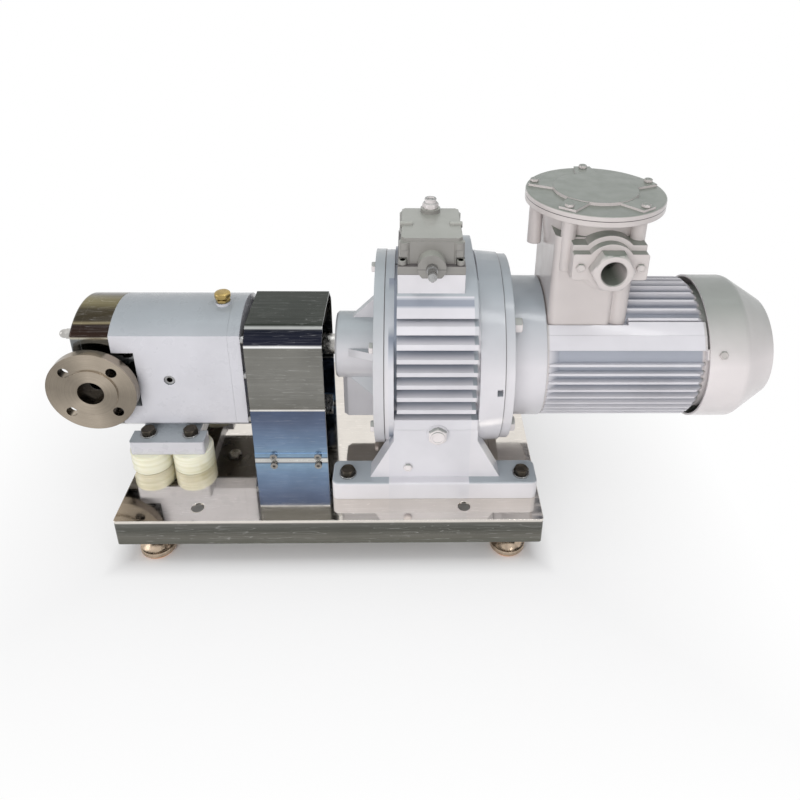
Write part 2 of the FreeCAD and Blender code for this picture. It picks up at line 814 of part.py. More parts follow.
def guard():
    outer = polygon([(x_guard0, y, z) for y, z in guard_outline(0)]).extrude(V(guard_len, 0, 0))
    inner = polygon([(x_guard0 - 1, y, z) for y, z in guard_outline(guard_t)])
    inner = inner.extrude(V(guard_len + 2, 0, 0))
    hems = [box(x_guard0, x_guard1, -guard_half - 1, -guard_half, deck, deck + hem_h)]
    hems.append(mirrored(hems[0]))
    hood = join([outer.cut(inner)] + hems)
    holes = [rod_y(guard_screw_r + run, -guard_half - 3, guard_half + 3, x, deck + guard_screw_z)
             for x in guard_screw_places()]
    brackets = []
    screws = []
    anchors = []
    inside = guard_half - guard_t
    for s in (-1, 1):
        y0, y1 = sorted((s * inside, s * (inside - guard_t)))
        y2, y3 = sorted((s * inside, s * (inside - guard_bracket)))
        angle = join([box(x_guard0 + 4, x_guard1 - 4, y0, y1, deck, deck + guard_bracket),
                      box(x_guard0 + 4, x_guard1 - 4, y2, y3, deck, deck + guard_t)])
        anchor = abs(guard_anchor_places()[0])
        drill = [rod_z(guard_screw_r + run, deck - 1, deck + guard_t + 1, x, s * anchor)
                 for x in guard_screw_places()]
        brackets.append(angle.cut(holes + drill))
        for x in guard_screw_places():
            seat = s * (guard_half + 1)
            head = rod_y(5.0, min(seat, seat + s * 3), max(seat, seat + s * 3), x, deck + guard_screw_z)
            near, far = sorted((seat, s * (inside - guard_t - 4)))
            stem = rod_y(guard_screw_r, near, far, x, deck + guard_screw_z)
            screws.append(join([head, stem]).cut(
                hexagon(4, 2, V(x, seat + s * 3, deck + guard_screw_z), V(0, -s, 0))))
            y = s * abs(guard_anchor_places()[0])
            anchors.append(join([rod_z(4.5, deck + guard_t, deck + guard_t + 3, x, y),
                                 rod_z(guard_screw_r, deck - sheet_t - 4, deck + guard_t + 1, x, y)]))
    return [("coupling_guard", hood.cut(holes)), ("guard_brackets", group(brackets)),
            ("guard_side_screws", group(screws)), ("guard_anchor_screws", group(anchors))]


def variator_cover():
    """Round front cover with a long nose, a top gusset and a lower web."""
    plate = rod_x(disc_r, x_disc, x_rim)
    nose = rod_x(nose_r, x_nose, x_disc + 1)
    nose = nose.makeChamfer(2.5, [e for e in nose.Edges if e.BoundBox.XMax < x_nose + 0.1])
    ribs = []
    for k in range(nose_ribs):
        reach, run_x = (nose_r + 32.7, 33) if k == 0 else (nose_r + 28.7, 37)
        fin = polygon([(x_disc + 1, 0, axis + nose_r - 6), (x_disc - run_x, 0, axis + nose_r - 6),
                       (x_disc - run_x, 0, axis + nose_r - 1), (x_disc + 1, 0, axis + reach)])
        fin = fin.extrude(V(0, nose_rib_t, 0))
        fin.translate(V(0, -nose_rib_t / 2, 0))
        ribs.append(spin(fin, 360 * k / nose_ribs))
    low = axis - sump_low
    sump = box(x_disc - sump_run, x_disc + 1, -sump_half, sump_half, low, axis - nose_r + 8)
    edges = [e for e in sump.Edges if e.BoundBox.XLength < 1 and e.BoundBox.ZLength > 10]
    sump = sump.makeChamfer(6, [e for e in edges if e.BoundBox.XMax < x_disc])
    cuts = [rod_x(out_shaft_r + 4, x_nose - 1, x_rim + 1), rod_x(26 + run / 2, x_rim - 30, x_rim + 1),
            rod_x(22, x_nose - 1, x_nose + 8)]
    cuts += [rod_x(4 + run, x_disc - 1, x_rim + 1, y, z) for y, z in rim_bolt_places()]
    return join([plate, nose, sump] + ribs).cut(cuts)


def rim_bolt_places():
    ring = disc_r - 13
    return [(ring * cos(radians(30 + 60 * k)), axis + ring * sin(radians(30 + 60 * k))) for k in range(6)]


def shouldered(x, half, top, r, base):
    """Face with two big upper corners, closed below by the given edges."""
    zc = deck + top - r
    k = r / sqrt(2)
    low = base[0].Vertexes[0].Point.z
    left = Part.LineSegment(V(x, -half, low), V(x, -half, zc)).toShape()
    bend_l = Part.Arc(V(x, -half, zc), V(x, r - half - k, zc + k), V(x, r - half, zc + r)).toShape()
    flat = Part.LineSegment(V(x, r - half, zc + r), V(x, half - r, zc + r)).toShape()
    bend_r = Part.Arc(V(x, half - r, zc + r), V(x, half - r + k, zc + k), V(x, half, zc)).toShape()
    right = Part.LineSegment(V(x, half, zc), V(x, half, low)).toShape()
    return Part.Face(Part.Wire(base + [left, bend_l, flat, bend_r, right]))


def body_outline(x):
    """Round below the axis, square-shouldered above, inside the ribs."""
    depth = rib_depth
    bottom = Part.Arc(V(x, body_half, axis), V(x, 0, axis - body_half), V(x, -body_half, axis)).toShape()
    return shouldered(x, body_half, body_top - depth, corner_r - depth, [bottom])


def rib_limit(x, length):
    low = deck + foot_t
    floor = Part.LineSegment(V(x, rib_out, low), V(x, -rib_out, low)).toShape()
    return shouldered(x, rib_out, body_top, corner_r, [floor]).extrude(V(length, 0, 0))


def side_ribs():
    """Level ribs, thin at the tip and thick at the root, under a solid crown."""
    x0 = x_ribs - rib_len / 2
    root = body_half - rib_tip
    tops = [deck + rib_low + k * rib_pitch for k in range(rib_count)]
    bars = []
    for z in tops:
        shape = polygon([(x0, -rib_out, z - rib_tip / 2), (x0, -root, z - rib_root / 2),
                         (x0, root, z - rib_root / 2), (x0, rib_out, z - rib_tip / 2),
                         (x0, rib_out, z + rib_tip / 2), (x0, root, z + rib_root / 2),
                         (x0, -root, z + rib_root / 2), (x0, -rib_out, z + rib_tip / 2)])
        bars.append(shape.extrude(V(rib_len, 0, 0)))
    bars.append(box(x0, x0 + rib_len, -rib_out, rib_out, tops[-1] + rib_tip / 2 - 1, deck + body_top))
    slab_top = deck + rib_slab_top
    bars.append(box(x0 - 3, x0 + rib_len + 3, -rib_out, rib_out, slab_top - rib_slab, slab_top))
    limit = rib_limit(x0 - 3, rib_len + 6)
    return [b.common(limit) for b in bars]


def variator_legs():
    """Flared legs on two long feet, open between them."""
    out = rib_out - 1
    z0 = deck + foot_t - 1
    shape = polygon([(x_foot - leg_half_low, -out, z0), (x_foot + leg_half_low, -out, z0),
                     (x_foot + leg_half_top, -out, deck + leg_knee),
                     (x_foot + leg_half_top, -out, deck + leg_top),
                     (x_foot - leg_half_top, -out, deck + leg_top),
                     (x_foot - leg_half_top, -out, deck + leg_knee)])
    leg = shape.extrude(V(0, leg_t, 0))
    foot = box(x_foot - foot_len / 2, x_foot + foot_len / 2, -foot_out, -foot_in, deck, deck + foot_t)
    foot = foot.makeFillet(8, [e for e in foot.Edges if e.BoundBox.ZLength > 1])
    foot = foot.makeFillet(2.5, [e for e in foot.Edges if e.BoundBox.ZMin > deck + foot_t - 0.1])
    side = join([leg, foot])
    return [side, mirrored(side)]


def variator_housing():
    """Ribbed cast body between two round rims, on flared legs."""
    front = rod_x(disc_r - 1, x_rim, x_body)
    rear = Part.makeCone(rear_rim_r + 2, rear_rim_r - 1, rear_rim_t, V(x_rear, 0, axis), V(1, 0, 0))
    body = body_outline(x_body).extrude(V(body_len, 0, 0))
    roof = box(x_box - box_len / 2, x_box + box_len / 2, -box_front, box_rear, deck + 258, deck + box_step)
    bosses = [rod_y(14, -rib_out - 1, 4 - rib_out, x_foot + level_plug_dx, deck + level_plug_z)]
    blank = join([front, rear, body, roof] + side_ribs() + variator_legs() + bosses)
    cuts = [rod_x(cavity_r, x_rim - 1, x_rear + 8), rod_x(spigot_r, x_rear, x_motor + 1),
            rod_x(disc_r + 1, x_disc - nose_len, x_rim),
            box(x_pin - pin_r - 2, x_pin + pin_r + 2, pin_y - 17, pin_y + 23,
                axis + 60, deck + box_step + 1),
            rod_y(7, -rib_out - 3, -body_half + 2, x_foot + level_plug_dx, deck + level_plug_z),
            rod_y(4, -rib_out - 3, -rib_out + 12, x_foot + small_plug_dx, deck + small_plug_z),
            box(x_slot, x_slot + sight_slot_len, -rear_rim_r - 3, 12 - rear_rim_r,
                deck + sight_slot_z - sight_slot_h / 2, deck + sight_slot_z + sight_slot_h / 2)]
    cuts += [rod_z(bolt_r + run, deck - 1, deck + foot_t + 1, x, y) for x, y in foot_bolt_places()]
    cuts += [rod_x(4 + run, x_rim - 1, x_rim + 16, y, z) for y, z in rim_bolt_places()]
    cuts += [rod_x(6 + run, x_motor - 20, x_motor + 1, y, z) for y, z in motor_bolt_places()]
    cuts += [rod_z(3 + run, deck + box_step - 14, deck + box_step + 1, x, y) for x, y in box_screw_places()]
    return blank.cut(cuts)


def motor_bolt_places():
    ring = motor_flange_pcd / 2
    return [(ring * cos(radians(45 + 90 * k)), axis + ring * sin(radians(45 + 90 * k))) for k in range(4)]


def box_screw_places():
    dx = box_len / 2 - 6
    return [(x_box + s * dx, y) for s in (-1, 1) for y in (6 - box_front, box_rear - 6)]


def variator_plugs():
    y = -rib_out - 1
    x = x_foot + level_plug_dx
    level = join([hexagon(level_plug_af, 8, V(x, y, deck + level_plug_z), V(0, -1, 0), pi / 6),
                  rod_y(7 - run, y, y + 10, x, deck + level_plug_z)])
    xs = x_foot + small_plug_dx
    y = 1 - rib_out
    small = join([hexagon(10, 4, V(xs, y, deck + small_plug_z), V(0, -1, 0)),
                  rod_y(4 - run, y, y + 9, xs, deck + small_plug_z)])
    bolts = []
    washers = []
    nuts = []
    top = deck + foot_t
    for bx, by in foot_bolt_places():
        washer = rod_z(washer_r, top, top + washer_t, bx, by)
        washers.append(washer.cut(rod_z(bolt_r + run, top - 1, top + washer_t + 1, bx, by)))
        bolts.append(hex_bolt(bolt_r, bolt_af, bolt_head_h, foot_t + sheet_t + washer_t + 12,
                              V(bx, by, top + washer_t), V(0, 0, 1)))
        low = deck - sheet_t - foot_nut_h
        nut = hexagon(bolt_af, foot_nut_h, V(bx, by, low), V(0, 0, 1))
        nuts.append(nut.cut(rod_z(bolt_r + run, low - 1, deck, bx, by)))
    rim = [hex_bolt(4, 13, 5.5, 26, V(x_disc, by, bz), V(-1, 0, 0)) for by, bz in rim_bolt_places()]
    return [("variator_level_plug", level), ("variator_drain_plug", small),
            ("variator_foot_bolts", group(bolts)),
            ("variator_foot_washers", group(washers)), ("variator_foot_nuts", group(nuts)),
            ("variator_cover_bolts", group(rim))]


def carrier():
    """Output shaft with its carrier disc and one pin for each planet disc."""
    x0 = x_planets - sun_face() - 1 - carrier_t
    shaft = rod_x(out_shaft_r, x_hub0 + hub_len + jaw_len, x0 + 1)
    plate = rod_x(carrier_r, x0, x0 + carrier_t)
    pins = []
    for k in range(planet_count):
        a = 2 * pi * k / planet_count + pi / 2
        y = planet_orbit * cos(a)
        z = axis + planet_orbit * sin(a)
        pins.append(rod_x(planet_pin_r, x0 + 1, x_planets + planet_core + 3, y, z))
    return join([shaft, plate] + pins)


def planet_disc(k):
    """Double-cone disc that rolls between the sun and the outer rings."""
    a = 2 * pi * k / planet_count + pi / 2
    y = planet_orbit * cos(a)
    z = axis + planet_orbit * sin(a)
    bore = planet_pin_r + run
    c = planet_core
    e = planet_rim
    return turned([(x_planets - c, bore), (x_planets - c, bore + 5), (x_planets - e, planet_r),
                   (x_planets + e, planet_r), (x_planets + c, bore + 5), (x_planets + c, bore)], z, y)


def planet_half(r):
    """Half thickness of a planet disc at its own radius r."""
    r0 = planet_pin_r + run + 5
    return planet_core + (planet_rim - planet_core) * (r - r0) / (planet_r - r0)


def sun_face():
    """Distance of a sun disc's outer face from the planets' middle."""
    return planet_half(planet_orbit - sun_r) + clear + sun_t


def sun_discs():
    """Two cone-faced discs on the motor shaft that pinch the planets."""
    near = planet_orbit - planet_r - 1
    gap_near = planet_half(planet_r) + clear
    far = sun_face()
    discs = []
    for s in (-1, 1):
        points = [(x_planets + s * gap_near, motor_shaft_r), (x_planets + s * gap_near, near),
                  (x_planets + s * (far - sun_t), sun_r), (x_planets + s * far, sun_r),
                  (x_planets + s * far, motor_shaft_r)]
        discs.append(turned(points))
    return group(discs)


def race_ring(side, r_out, width):
    """Cone-faced ring round the planets on one side of their plane."""
    gap_near = planet_half(ring_in - planet_orbit) + clear
    gap_far = planet_half(planet_r) + clear
    edge = planet_orbit + planet_r + 1
    x0 = x_planets
    return turned([(x0 + side * gap_near, ring_in), (x0 + side * gap_far, edge), (x0 + side * gap_far, r_out),
                   (x0 + side * (gap_near + width), r_out), (x0 + side * (gap_near + width), ring_in)])


def adjusting_ring():
    """Turning race ring with the pin that its control nut swings."""
    ring = race_ring(1, cavity_r - run, ring_t)
    pin = spin(rod_z(pin_r, axis + ring_in + 8, axis + pin_mid + 4, x_pin, 0), pin_angle)
    return join([ring, pin])


def control_parts():
    """Box, spindle, nut and plug that set the speed."""
    x0 = x_box - box_len / 2
    x1 = x_box + box_len / 2
    z0 = deck + box_step
    z1 = deck + box_top
    w = 3.5
    lip = box(x0, x1, -box_front, box_rear, z0, deck + box_lip)
    body = box(x0 + w, x1 - w, 7 - box_front, box_rear - 4, deck + box_lip - 1, z1 - 4)
    corners = [rod_z(7, deck + box_lip - 1, z1 - 5, x0 + w + 5 + (x1 - x0 - 2 * w - 10) * i, y)
               for i in (0, 1) for y in (11 - box_front, box_rear - 9)]
    top = box(x0 + w + 1, x1 - w - 1, 8 - box_front, box_rear - 4, z1 - 5, z1)
    tall = [e for e in top.Edges if e.BoundBox.ZLength > 1]
    top = top.makeChamfer(4, tall)
    collar = rod_y(collar_r, -box_front - 9, 8 - box_front, x_box, axis + spindle_z)
    lugs = [rod_x(4, x0 + w - 1, x0 + 18, box_lug_y, z1 - 0.5),
            rod_x(4, x1 - 18, x1 - w + 1, box_lug_y, z1 - 0.5)]
    seat = rod_z(12.5, z1 - 2, z1 + 5, x_box, filler_y)
    shell = join([lip, body, top, collar, seat] + corners + lugs)
    hollow = box(x0 + box_wall, x1 - box_wall, 16 - box_front, box_rear - 12.5, z0 - 1, z1 - 7)
    trim = box(x0 - 30, x1 + 30, -200, 200, z0 - 60, z0)
    cuts = [hollow, trim, rod_y(spindle_r + run, -box_front - 12, box_rear - 4, x_box, axis + spindle_z),
            rod_z(7, z1 - 8, z1 + 6, x_box, filler_y)]
    cuts += [rod_z(3 + run, z0 - 1, deck + box_lip + 9, x, y) for x, y in box_screw_places()]
    shell = shell.cut(cuts)
    pockets = [box(x - 6, x + 6, min(y, y + s * 9), max(y, y + s * 9), deck + box_lip, z1 - 14)
               for x, y in box_screw_places() for s in ((-1,) if y < 0 else (1,))]
    shell = shell.cut([rod_z(5.4, deck + box_lip, deck + box_lip + 9, x, y) for x, y in box_screw_places()]
                      + pockets)
    screws = []
    for x, y in box_screw_places():
        head = rod_z(5, deck + box_lip, deck + box_lip + 6, x, y)
        stem = rod_z(3, z0 - 12, deck + box_lip + 1, x, y)
        socket = hexagon(5, 4, V(x, y, deck + box_lip + 6), V(0, 0, -1))
        screws.append(join([head, stem]).cut(socket))
    zs = axis + spindle_z
    spindle = join([rod_y(spindle_r, -box_front - 16, box_rear - 6, x_box, zs),
                    rod_y(spindle_r - 1.2, -spindle_out, -box_front - 15, x_box, zs),
                    box(x_box - 1.5, x_box + 1.5, -spindle_out + 2, -spindle_out + 12, zs - 7, zs - 3)])
    stop = join([rod_y(10, 17 - box_front, 24 - box_front, x_box, zs),
                 rod_y(10, box_rear - 19.5, box_rear - 13.5, x_box, zs)])
    nut = box(x_box - 11, x_pin + 7, pin_y - nut_half, pin_y + nut_half, z0 + 1, zs + 11)
    slot_w = pin_r + 1.6
    nut = nut.cut([box(x_pin - pin_r - 1, x_pin + 8, pin_y - slot_w, pin_y + slot_w, z0, axis + pin_mid + 6),
                   rod_y(spindle_r + run, pin_y - nut_half - 1, pin_y + nut_half + 1, x_box, zs)])
    z2 = z1 + 5 + filler_h
    plug = join([hexagon(filler_af, filler_h, V(x_box, filler_y, z1 + 5), V(0, 0, 1)),
                 rod_z(6.9, z1 - 4, z1 + 6, x_box, filler_y),
                 rod_z(7.5, z2, z2 + filler_neck_h, x_box, filler_y)])
    return [("control_box", shell), ("control_box_screws", group(screws)),
            ("speed_spindle", join([spindle, stop])), ("speed_nut", nut), ("oil_filler_plug", plug)]


def variator_inside():
    bearings = [ring_x(26, out_shaft_r + run, x_rim - 28, x_rim - 14),
                ring_x(22, out_shaft_r + run, x_nose, x_nose + 7.5)]
    fixed = race_ring(-1, cavity_r - run / 2, ring_t)
    nodes = [("carrier_shaft", carrier()), ("sun_discs", sun_discs()),
             ("output_bearing", bearings[0]), ("output_lip_seal", bearings[1]),
             ("fixed_race_ring", fixed), ("adjusting_ring", adjusting_ring())]
    nodes += [("planet_disc_%d" % (k + 1), planet_disc(k)) for k in range(planet_count)]
    return nodes


def motor_shield():
    """Drive-end shield with its bolting flange and spigot."""
    flange = rod_x(motor_flange_r, x_motor, x_bell)
    spigot = rod_x(spigot_r - run, x_motor - 5, x_motor + 1)
    bell = rod_x(bell_r, x_bell - 1, x_fins)
    bell = join([flange, spigot, bell])
    scallops = [rod_x(19, x_bell, x_bell + 22, y * 1.09, axis + (z - axis) * 1.09)
                for y, z in motor_bolt_places()]
    cuts = scallops + [rod_x(6 + run, x_motor - 1, x_bell + 1, y, z) for y, z in motor_bolt_places()]
    cuts += [rod_x(stator_r, x_bell + 14, x_fins + 1), rod_x(motor_shaft_r + 2, x_motor - 6, x_fins),
             rod_x(26 + run / 2, x_bell, x_bell + 15), rod_x(spigot_r - 12, x_motor - 6, x_motor + 4)]
    return bell.cut(cuts)


def motor_frame():
    """Finned barrel with two long pads and a flat seat for the box."""
    barrel = rod_x(motor_r, x_fins, x_shield)
    fins = []
    low_angles = [22.0 - 7.5 * k for k in range(30)]
    top_angles = [52.0 + 8.45 * k for k in range(10)]
    for a in low_angles + top_angles:
        blade = polygon([(x_fins, 0, motor_r - 3), (x_shield, 0, motor_r - 3), (x_shield, 0, motor_r + 3),
                         (x_shield - 9, 0, fin_r), (x_fins + 3, 0, fin_r), (x_fins, 0, motor_r + 4)])
        blade = blade.extrude(V(0, fin_t, 0))
        blade.translate(V(0, -fin_t / 2, 0))
        blade.rotate(V(0, 0, 0), V(1, 0, 0), a - 90)
        blade.translate(V(0, 0, axis))
        fins.append(blade)
    runout = Part.makeCone(fin_r, motor_r, fin_runout, V(x_fins, 0, axis), V(1, 0, 0))
    pads = []
    for a in (33.0, 147.0):
        pad = box(x_fins, x_shield, -9.5, 9.5, motor_r - 6, fin_r - 1)
        pad.rotate(V(0, 0, 0), V(1, 0, 0), a - 90)
        pad.translate(V(0, 0, axis))
        pads.append(pad)
    shoulders = [barrel_sector(37.0, 50.0), barrel_sector(130.0, 143.0)]
    seat = box(max(x_fins, x_neck - 4), x_neck + neck_len + 22, -neck_half - 4, neck_half + 4,
               axis + 40, deck + neck_base).common(rod_x(fin_r - 1, x_fins, x_shield))
    shell = join([barrel, runout, seat] + fins + pads + shoulders)
    core = rod_x(stator_r, x_fins - 1, x_cowl)
    wires = rod_z(18, axis + 60, axis + motor_r + 9, x_neck + neck_len / 2, 0)
    bed = box(x_neck - 1, x_neck + neck_len + 23, -neck_half - 1, neck_half + 1,
              deck + neck_base, axis + fin_r + 9)
    return shell.cut([core, wires, bed.cut(rod_x(motor_r, x_fins, x_cowl))])


def barrel_sector(start, end):
    """Plain part of the barrel between two angles, flush with the pads."""
    reach = fin_r * 1.2
    arms = [(x_fins, reach * cos(radians(a)), axis + reach * sin(radians(a))) for a in (start, end)]
    wedge = polygon([(x_fins, 0, axis)] + arms).extrude(V(x_shield - x_fins, 0, 0))
    return wedge.common(rod_x(fin_r - 1, x_fins, x_shield))


def motor_rear():
    plate = ring_x(motor_r, motor_shaft_r + 1, x_shield, x_shield + rear_shield_t)
    lip = ring_x(stator_r - run, stator_r - 8, x_shield - 6, x_shield + 1)
    seat = ring_x(26, motor_shaft_r + 1, x_shield - 6, x_shield + 1)
    ears = []
    for a in cowl_angles():
        ear = box(x_shield, x_cowl + 20, -7, 7, motor_r - 8, cowl_r - cowl_t - 0.6)
        ear.rotate(V(0, 0, 0), V(1, 0, 0), a - 90)
        ear.translate(V(0, 0, axis))
        ears.append(ear)
    holes = [radial_rod(2.5 + run, motor_r - 6, cowl_r + 2, x_cowl_screw, a) for a in cowl_angles()]
    return join([plate, lip, seat] + ears).cut([rod_x(20 + run / 2, x_shield - 7, x_shield + 8)] + holes)


def cowl_angles():
    return [cowl_screw_angle, 180 - cowl_screw_angle, 270.0]


def radial_rod(r, r0, r1, x, angle):
    a = radians(angle)
    n = V(0, cos(a), sin(a))
    return Part.makeCylinder(r, r1 - r0, V(x, n.y * r0, axis + n.z * r0), n)


def fan_cowl():
    """Sheet cowl: straight rim, cone, and an end grille of round holes."""
    t = cowl_t
    k = t * 1.2
    skin = turned([(x_cowl, cowl_r), (x_cone, cowl_r), (x_cowl_end, cowl_end_r), (x_cowl_end, 0),
                   (x_cowl_end - t, 0), (x_cowl_end - t, cowl_end_r - k), (x_cone, cowl_r - t),
                   (x_cowl, cowl_r - t)])
    for r in (cowl_r, cowl_r - t):
        arcs = [e for e in skin.Edges if abs(e.BoundBox.XMin - x_cone) < 0.1 and e.BoundBox.XLength < 0.1
                and abs(e.BoundBox.ZMax - axis - r) < 0.1]
        skin = skin.makeFillet(cowl_round + r - cowl_r, arcs)
    holes = []
    for ring, count in ((14, 6), (31, 12), (48, 18)):
        for j in range(count):
            a = 2 * pi * j / count
            holes.append(rod_x(5.2, x_cowl_end - 6, x_cowl_end + 1, ring * cos(a), axis + ring * sin(a)))
    holes += [radial_rod(2.5 + run, cowl_r - 8, cowl_r + 3, x_cowl_screw, a) for a in cowl_angles()]
    return skin.cut(holes)


def fan():
    """Hub, back plate and straight blades."""
    x0 = x_cowl + 22
    hub = rod_x(22, x0, x0 + fan_w)
    plate = rod_x(fan_r, x0, x0 + 3)
    blades = []
    for k in range(fan_blades):
        blade = box(x0 + 1, x0 + fan_w, -1.5, 1.5, axis + 18, axis + fan_r)
        blades.append(spin(blade, 360 / fan_blades * k))
    return join([hub, plate] + blades).cut(rod_x(motor_shaft_r, x0 - 1, x0 + fan_w + 1))


def motor_inside():
    x0 = x_fins + 12
    x1 = x_cowl - 48
    stator = ring_x(stator_r, rotor_r + 0.6, x0, x1)
    coils = [ring_x(stator_r - 4, rotor_r + 3, x0 - 20, x0), ring_x(stator_r - 4, rotor_r + 3, x1, x1 + 20)]
    core = ring_x(rotor_r, motor_shaft_r + 3, x0, x1)
    x_tip = x_planets - sun_face()
    shaft = turned([(x_tip, 0), (x_tip, motor_shaft_r), (x0, motor_shaft_r),
                    (x0, motor_shaft_r + 3), (x1, motor_shaft_r + 3), (x1, motor_shaft_r),
                    (x_cowl + 22 + fan_w + 2, motor_shaft_r), (x_cowl + 22 + fan_w + 2, 0)])
    bearings = [ring_x(26, motor_shaft_r + run, x_bell, x_bell + 14),
                ring_x(20, motor_shaft_r + run, x_shield - 4, x_shield + 8)]
    bolts = [hex_bolt(6, 18, motor_nut_h, 28, V(x_bell, y, z), V(1, 0, 0)) for y, z in motor_bolt_places()]
    screws = []
    for a in cowl_angles():
        n = V(0, cos(radians(a)), sin(radians(a)))
        seat = V(x_cowl_screw, n.y * cowl_r, axis + n.z * cowl_r)
        screws.append(hex_bolt(2.5, 10, 3.5, 10, seat, n))
    return [("stator_core", stator), ("stator_windings", group(coils)), ("rotor_core", core),
            ("motor_shaft", shaft), ("motor_bearings", group(bearings)),
            ("motor_flange_bolts", group(bolts)), ("cowl_screws", group(screws))]


def lid_angles():
    return [lid_turn + 360 * k / lid_bolts for k in range(lid_bolts)]


def lid_places(ring):
    return [(x_tbox + ring * cos(radians(a)), ring * sin(radians(a))) for a in lid_angles()]


def terminal_box():
    """Round flameproof bowl on a square neck, with the cable entry block."""
    z1 = deck + lid_top - lid_t
    rim = rod_z(lid_r, z1 - 7, z1, x_tbox, 0)
    bowl = Part.makeCone(bowl_r - 7, bowl_r, bowl_h, V(x_tbox, 0, z1 - 7 - bowl_h), V(0, 0, 1))
    x0 = x_neck
    neck = box(x0, x0 + neck_len, -neck_half, neck_half, deck + neck_base, z1 - 30)
    neck = neck.makeFillet(9, [e for e in neck.Edges if e.BoundBox.ZLength > 20])
    post = rod_z(12, deck + neck_base, z1 - 75, x0 + neck_len + 10, -neck_half + 14)
    web = box(x0 + neck_len - 2, x0 + neck_len + 10, -neck_half + 6, -neck_half + 22,
              deck + neck_base, z1 - 75)
    columns = [rod_z(lid_column_r, z1 - lid_column_len, z1 - 6, x, y)
               for x, y in lid_places(lid_column_ring)]
    xg = x_tbox + gland_dx
    zg = deck + gland_z
    entry = rod_y(entry_r, -entry_out, -40, xg, zg)
    block = box(xg - gland_len / 2 + 1, xg + gland_len / 2 - 1, -entry_out, -46, zg - 20, zg + 24)
    parts = [rim, bowl, neck, post, web, entry, block] + columns
    shell = join(parts)
    throat = box(x0 + bowl_wall, x0 + neck_len - bowl_wall, bowl_wall - neck_half, neck_half - bowl_wall,
                 zg - gland_bore_r - 3, z1 - 49)
    cuts = [rod_z(bowl_r - bowl_wall - 5, z1 - 50, z1 + 1, x_tbox, 0), throat,
            rod_z(18, deck + neck_base - 1, z1 - 40, x0 + neck_len / 2, 0),
            rod_x(motor_r + run, x_fins, x_cowl),
            rod_y(gland_bore_r + 4, -entry_out - 1, -30, xg, zg),
            box(x_tbox - lid_r, x_tbox + lid_r, -200, 200, z1, z1 + 5)]
    cuts += [rod_z(3 + run, z1 - 16, z1 + 1, x, y) for x, y in lid_places(lid_bolt_ring)]
    cuts += [rod_y(3 + run, -entry_out - 1, -entry_out + 15, xg + s * gland_screw_dx, zg) for s in (-1, 1)]
    return shell.cut(cuts)


def box_lid():
    """Round lid with a raised centre and a pad under each bolt."""
    z1 = deck + lid_top
    z0 = z1 - lid_t
    disc = rod_z(lid_r, z0, z1 - 1, x_tbox, 0)
    disc = disc.makeFillet(2, [e for e in disc.Edges if e.BoundBox.ZMin > z1 - 1.1 and e.Length > 100])
    crown = rod_z(lid_boss_r, z0 + 1, z1 + lid_rise, x_tbox, 0)
    pads = []
    for a in lid_angles():
        pad = polygon([(lid_boss_r - 6, -15, z0 + 2), (lid_r - 4, -11, z0 + 2), (lid_r - 4, 11, z0 + 2),
                       (lid_boss_r - 6, 15, z0 + 2)])
        pad = pad.extrude(V(0, 0, z1 + lid_rise - 1 - z0 - 2))
        pad.rotate(V(0, 0, 0), V(0, 0, 1), a)
        pad.translate(V(x_tbox, 0, 0))
        pads.append(pad)
    lid = join([disc, crown] + pads)
    return lid.cut([rod_z(3 + run, z0 - 1, z1 + 9, x, y) for x, y in lid_places(lid_bolt_ring)])


def gland_parts():
    xg = x_tbox + gland_dx
    zg = deck + gland_z
    y0 = -entry_out - gland_t
    ears = box(xg - gland_len / 2, xg + gland_len / 2, y0, -entry_out,
               zg - gland_ear_h / 2, zg + gland_ear_h / 2)
    ears = ears.makeFillet(gland_ear_round, [e for e in ears.Edges if e.BoundBox.YLength > 5])
    disc = rod_y(entry_r - 6, y0, -entry_out, xg, zg)
    sleeve = rod_y(gland_bore_r + 3.9, -entry_out - 1, -entry_out + 14, xg, zg)
    bore = rod_y(gland_bore_r, y0 - 1, -20, xg, zg)
    flange = join([ears, disc, sleeve]).cut(
        [bore] + [rod_y(3 + run, y0 - 1, -entry_out + 1, xg + s * gland_screw_dx, zg) for s in (-1, 1)])
    nut = hexagon(gland_nut_af, gland_nut_h, V(xg, y0, zg), V(0, -1, 0))
    nut = nut.cut(rod_y(gland_bore_r, y0 - gland_nut_h - 1, y0 + 1, xg, zg))
    screws = [hex_bolt(lid_bolt_r, lid_bolt_af, 4, gland_screw_len,
                       V(xg + s * gland_screw_dx, y0, zg), V(0, -1, 0)) for s in (-1, 1)]
    z_lid = deck + lid_top + lid_rise - 1
    bolts = [hex_bolt(lid_bolt_r, lid_bolt_af, 4.2, lid_bolt_len, V(x, y, z_lid), V(0, 0, 1))
             for x, y in lid_places(lid_bolt_ring)]
    return [("gland_flange", flange), ("gland_nut", nut), ("gland_screws", group(screws)),
            ("lid_bolts", group(bolts))]


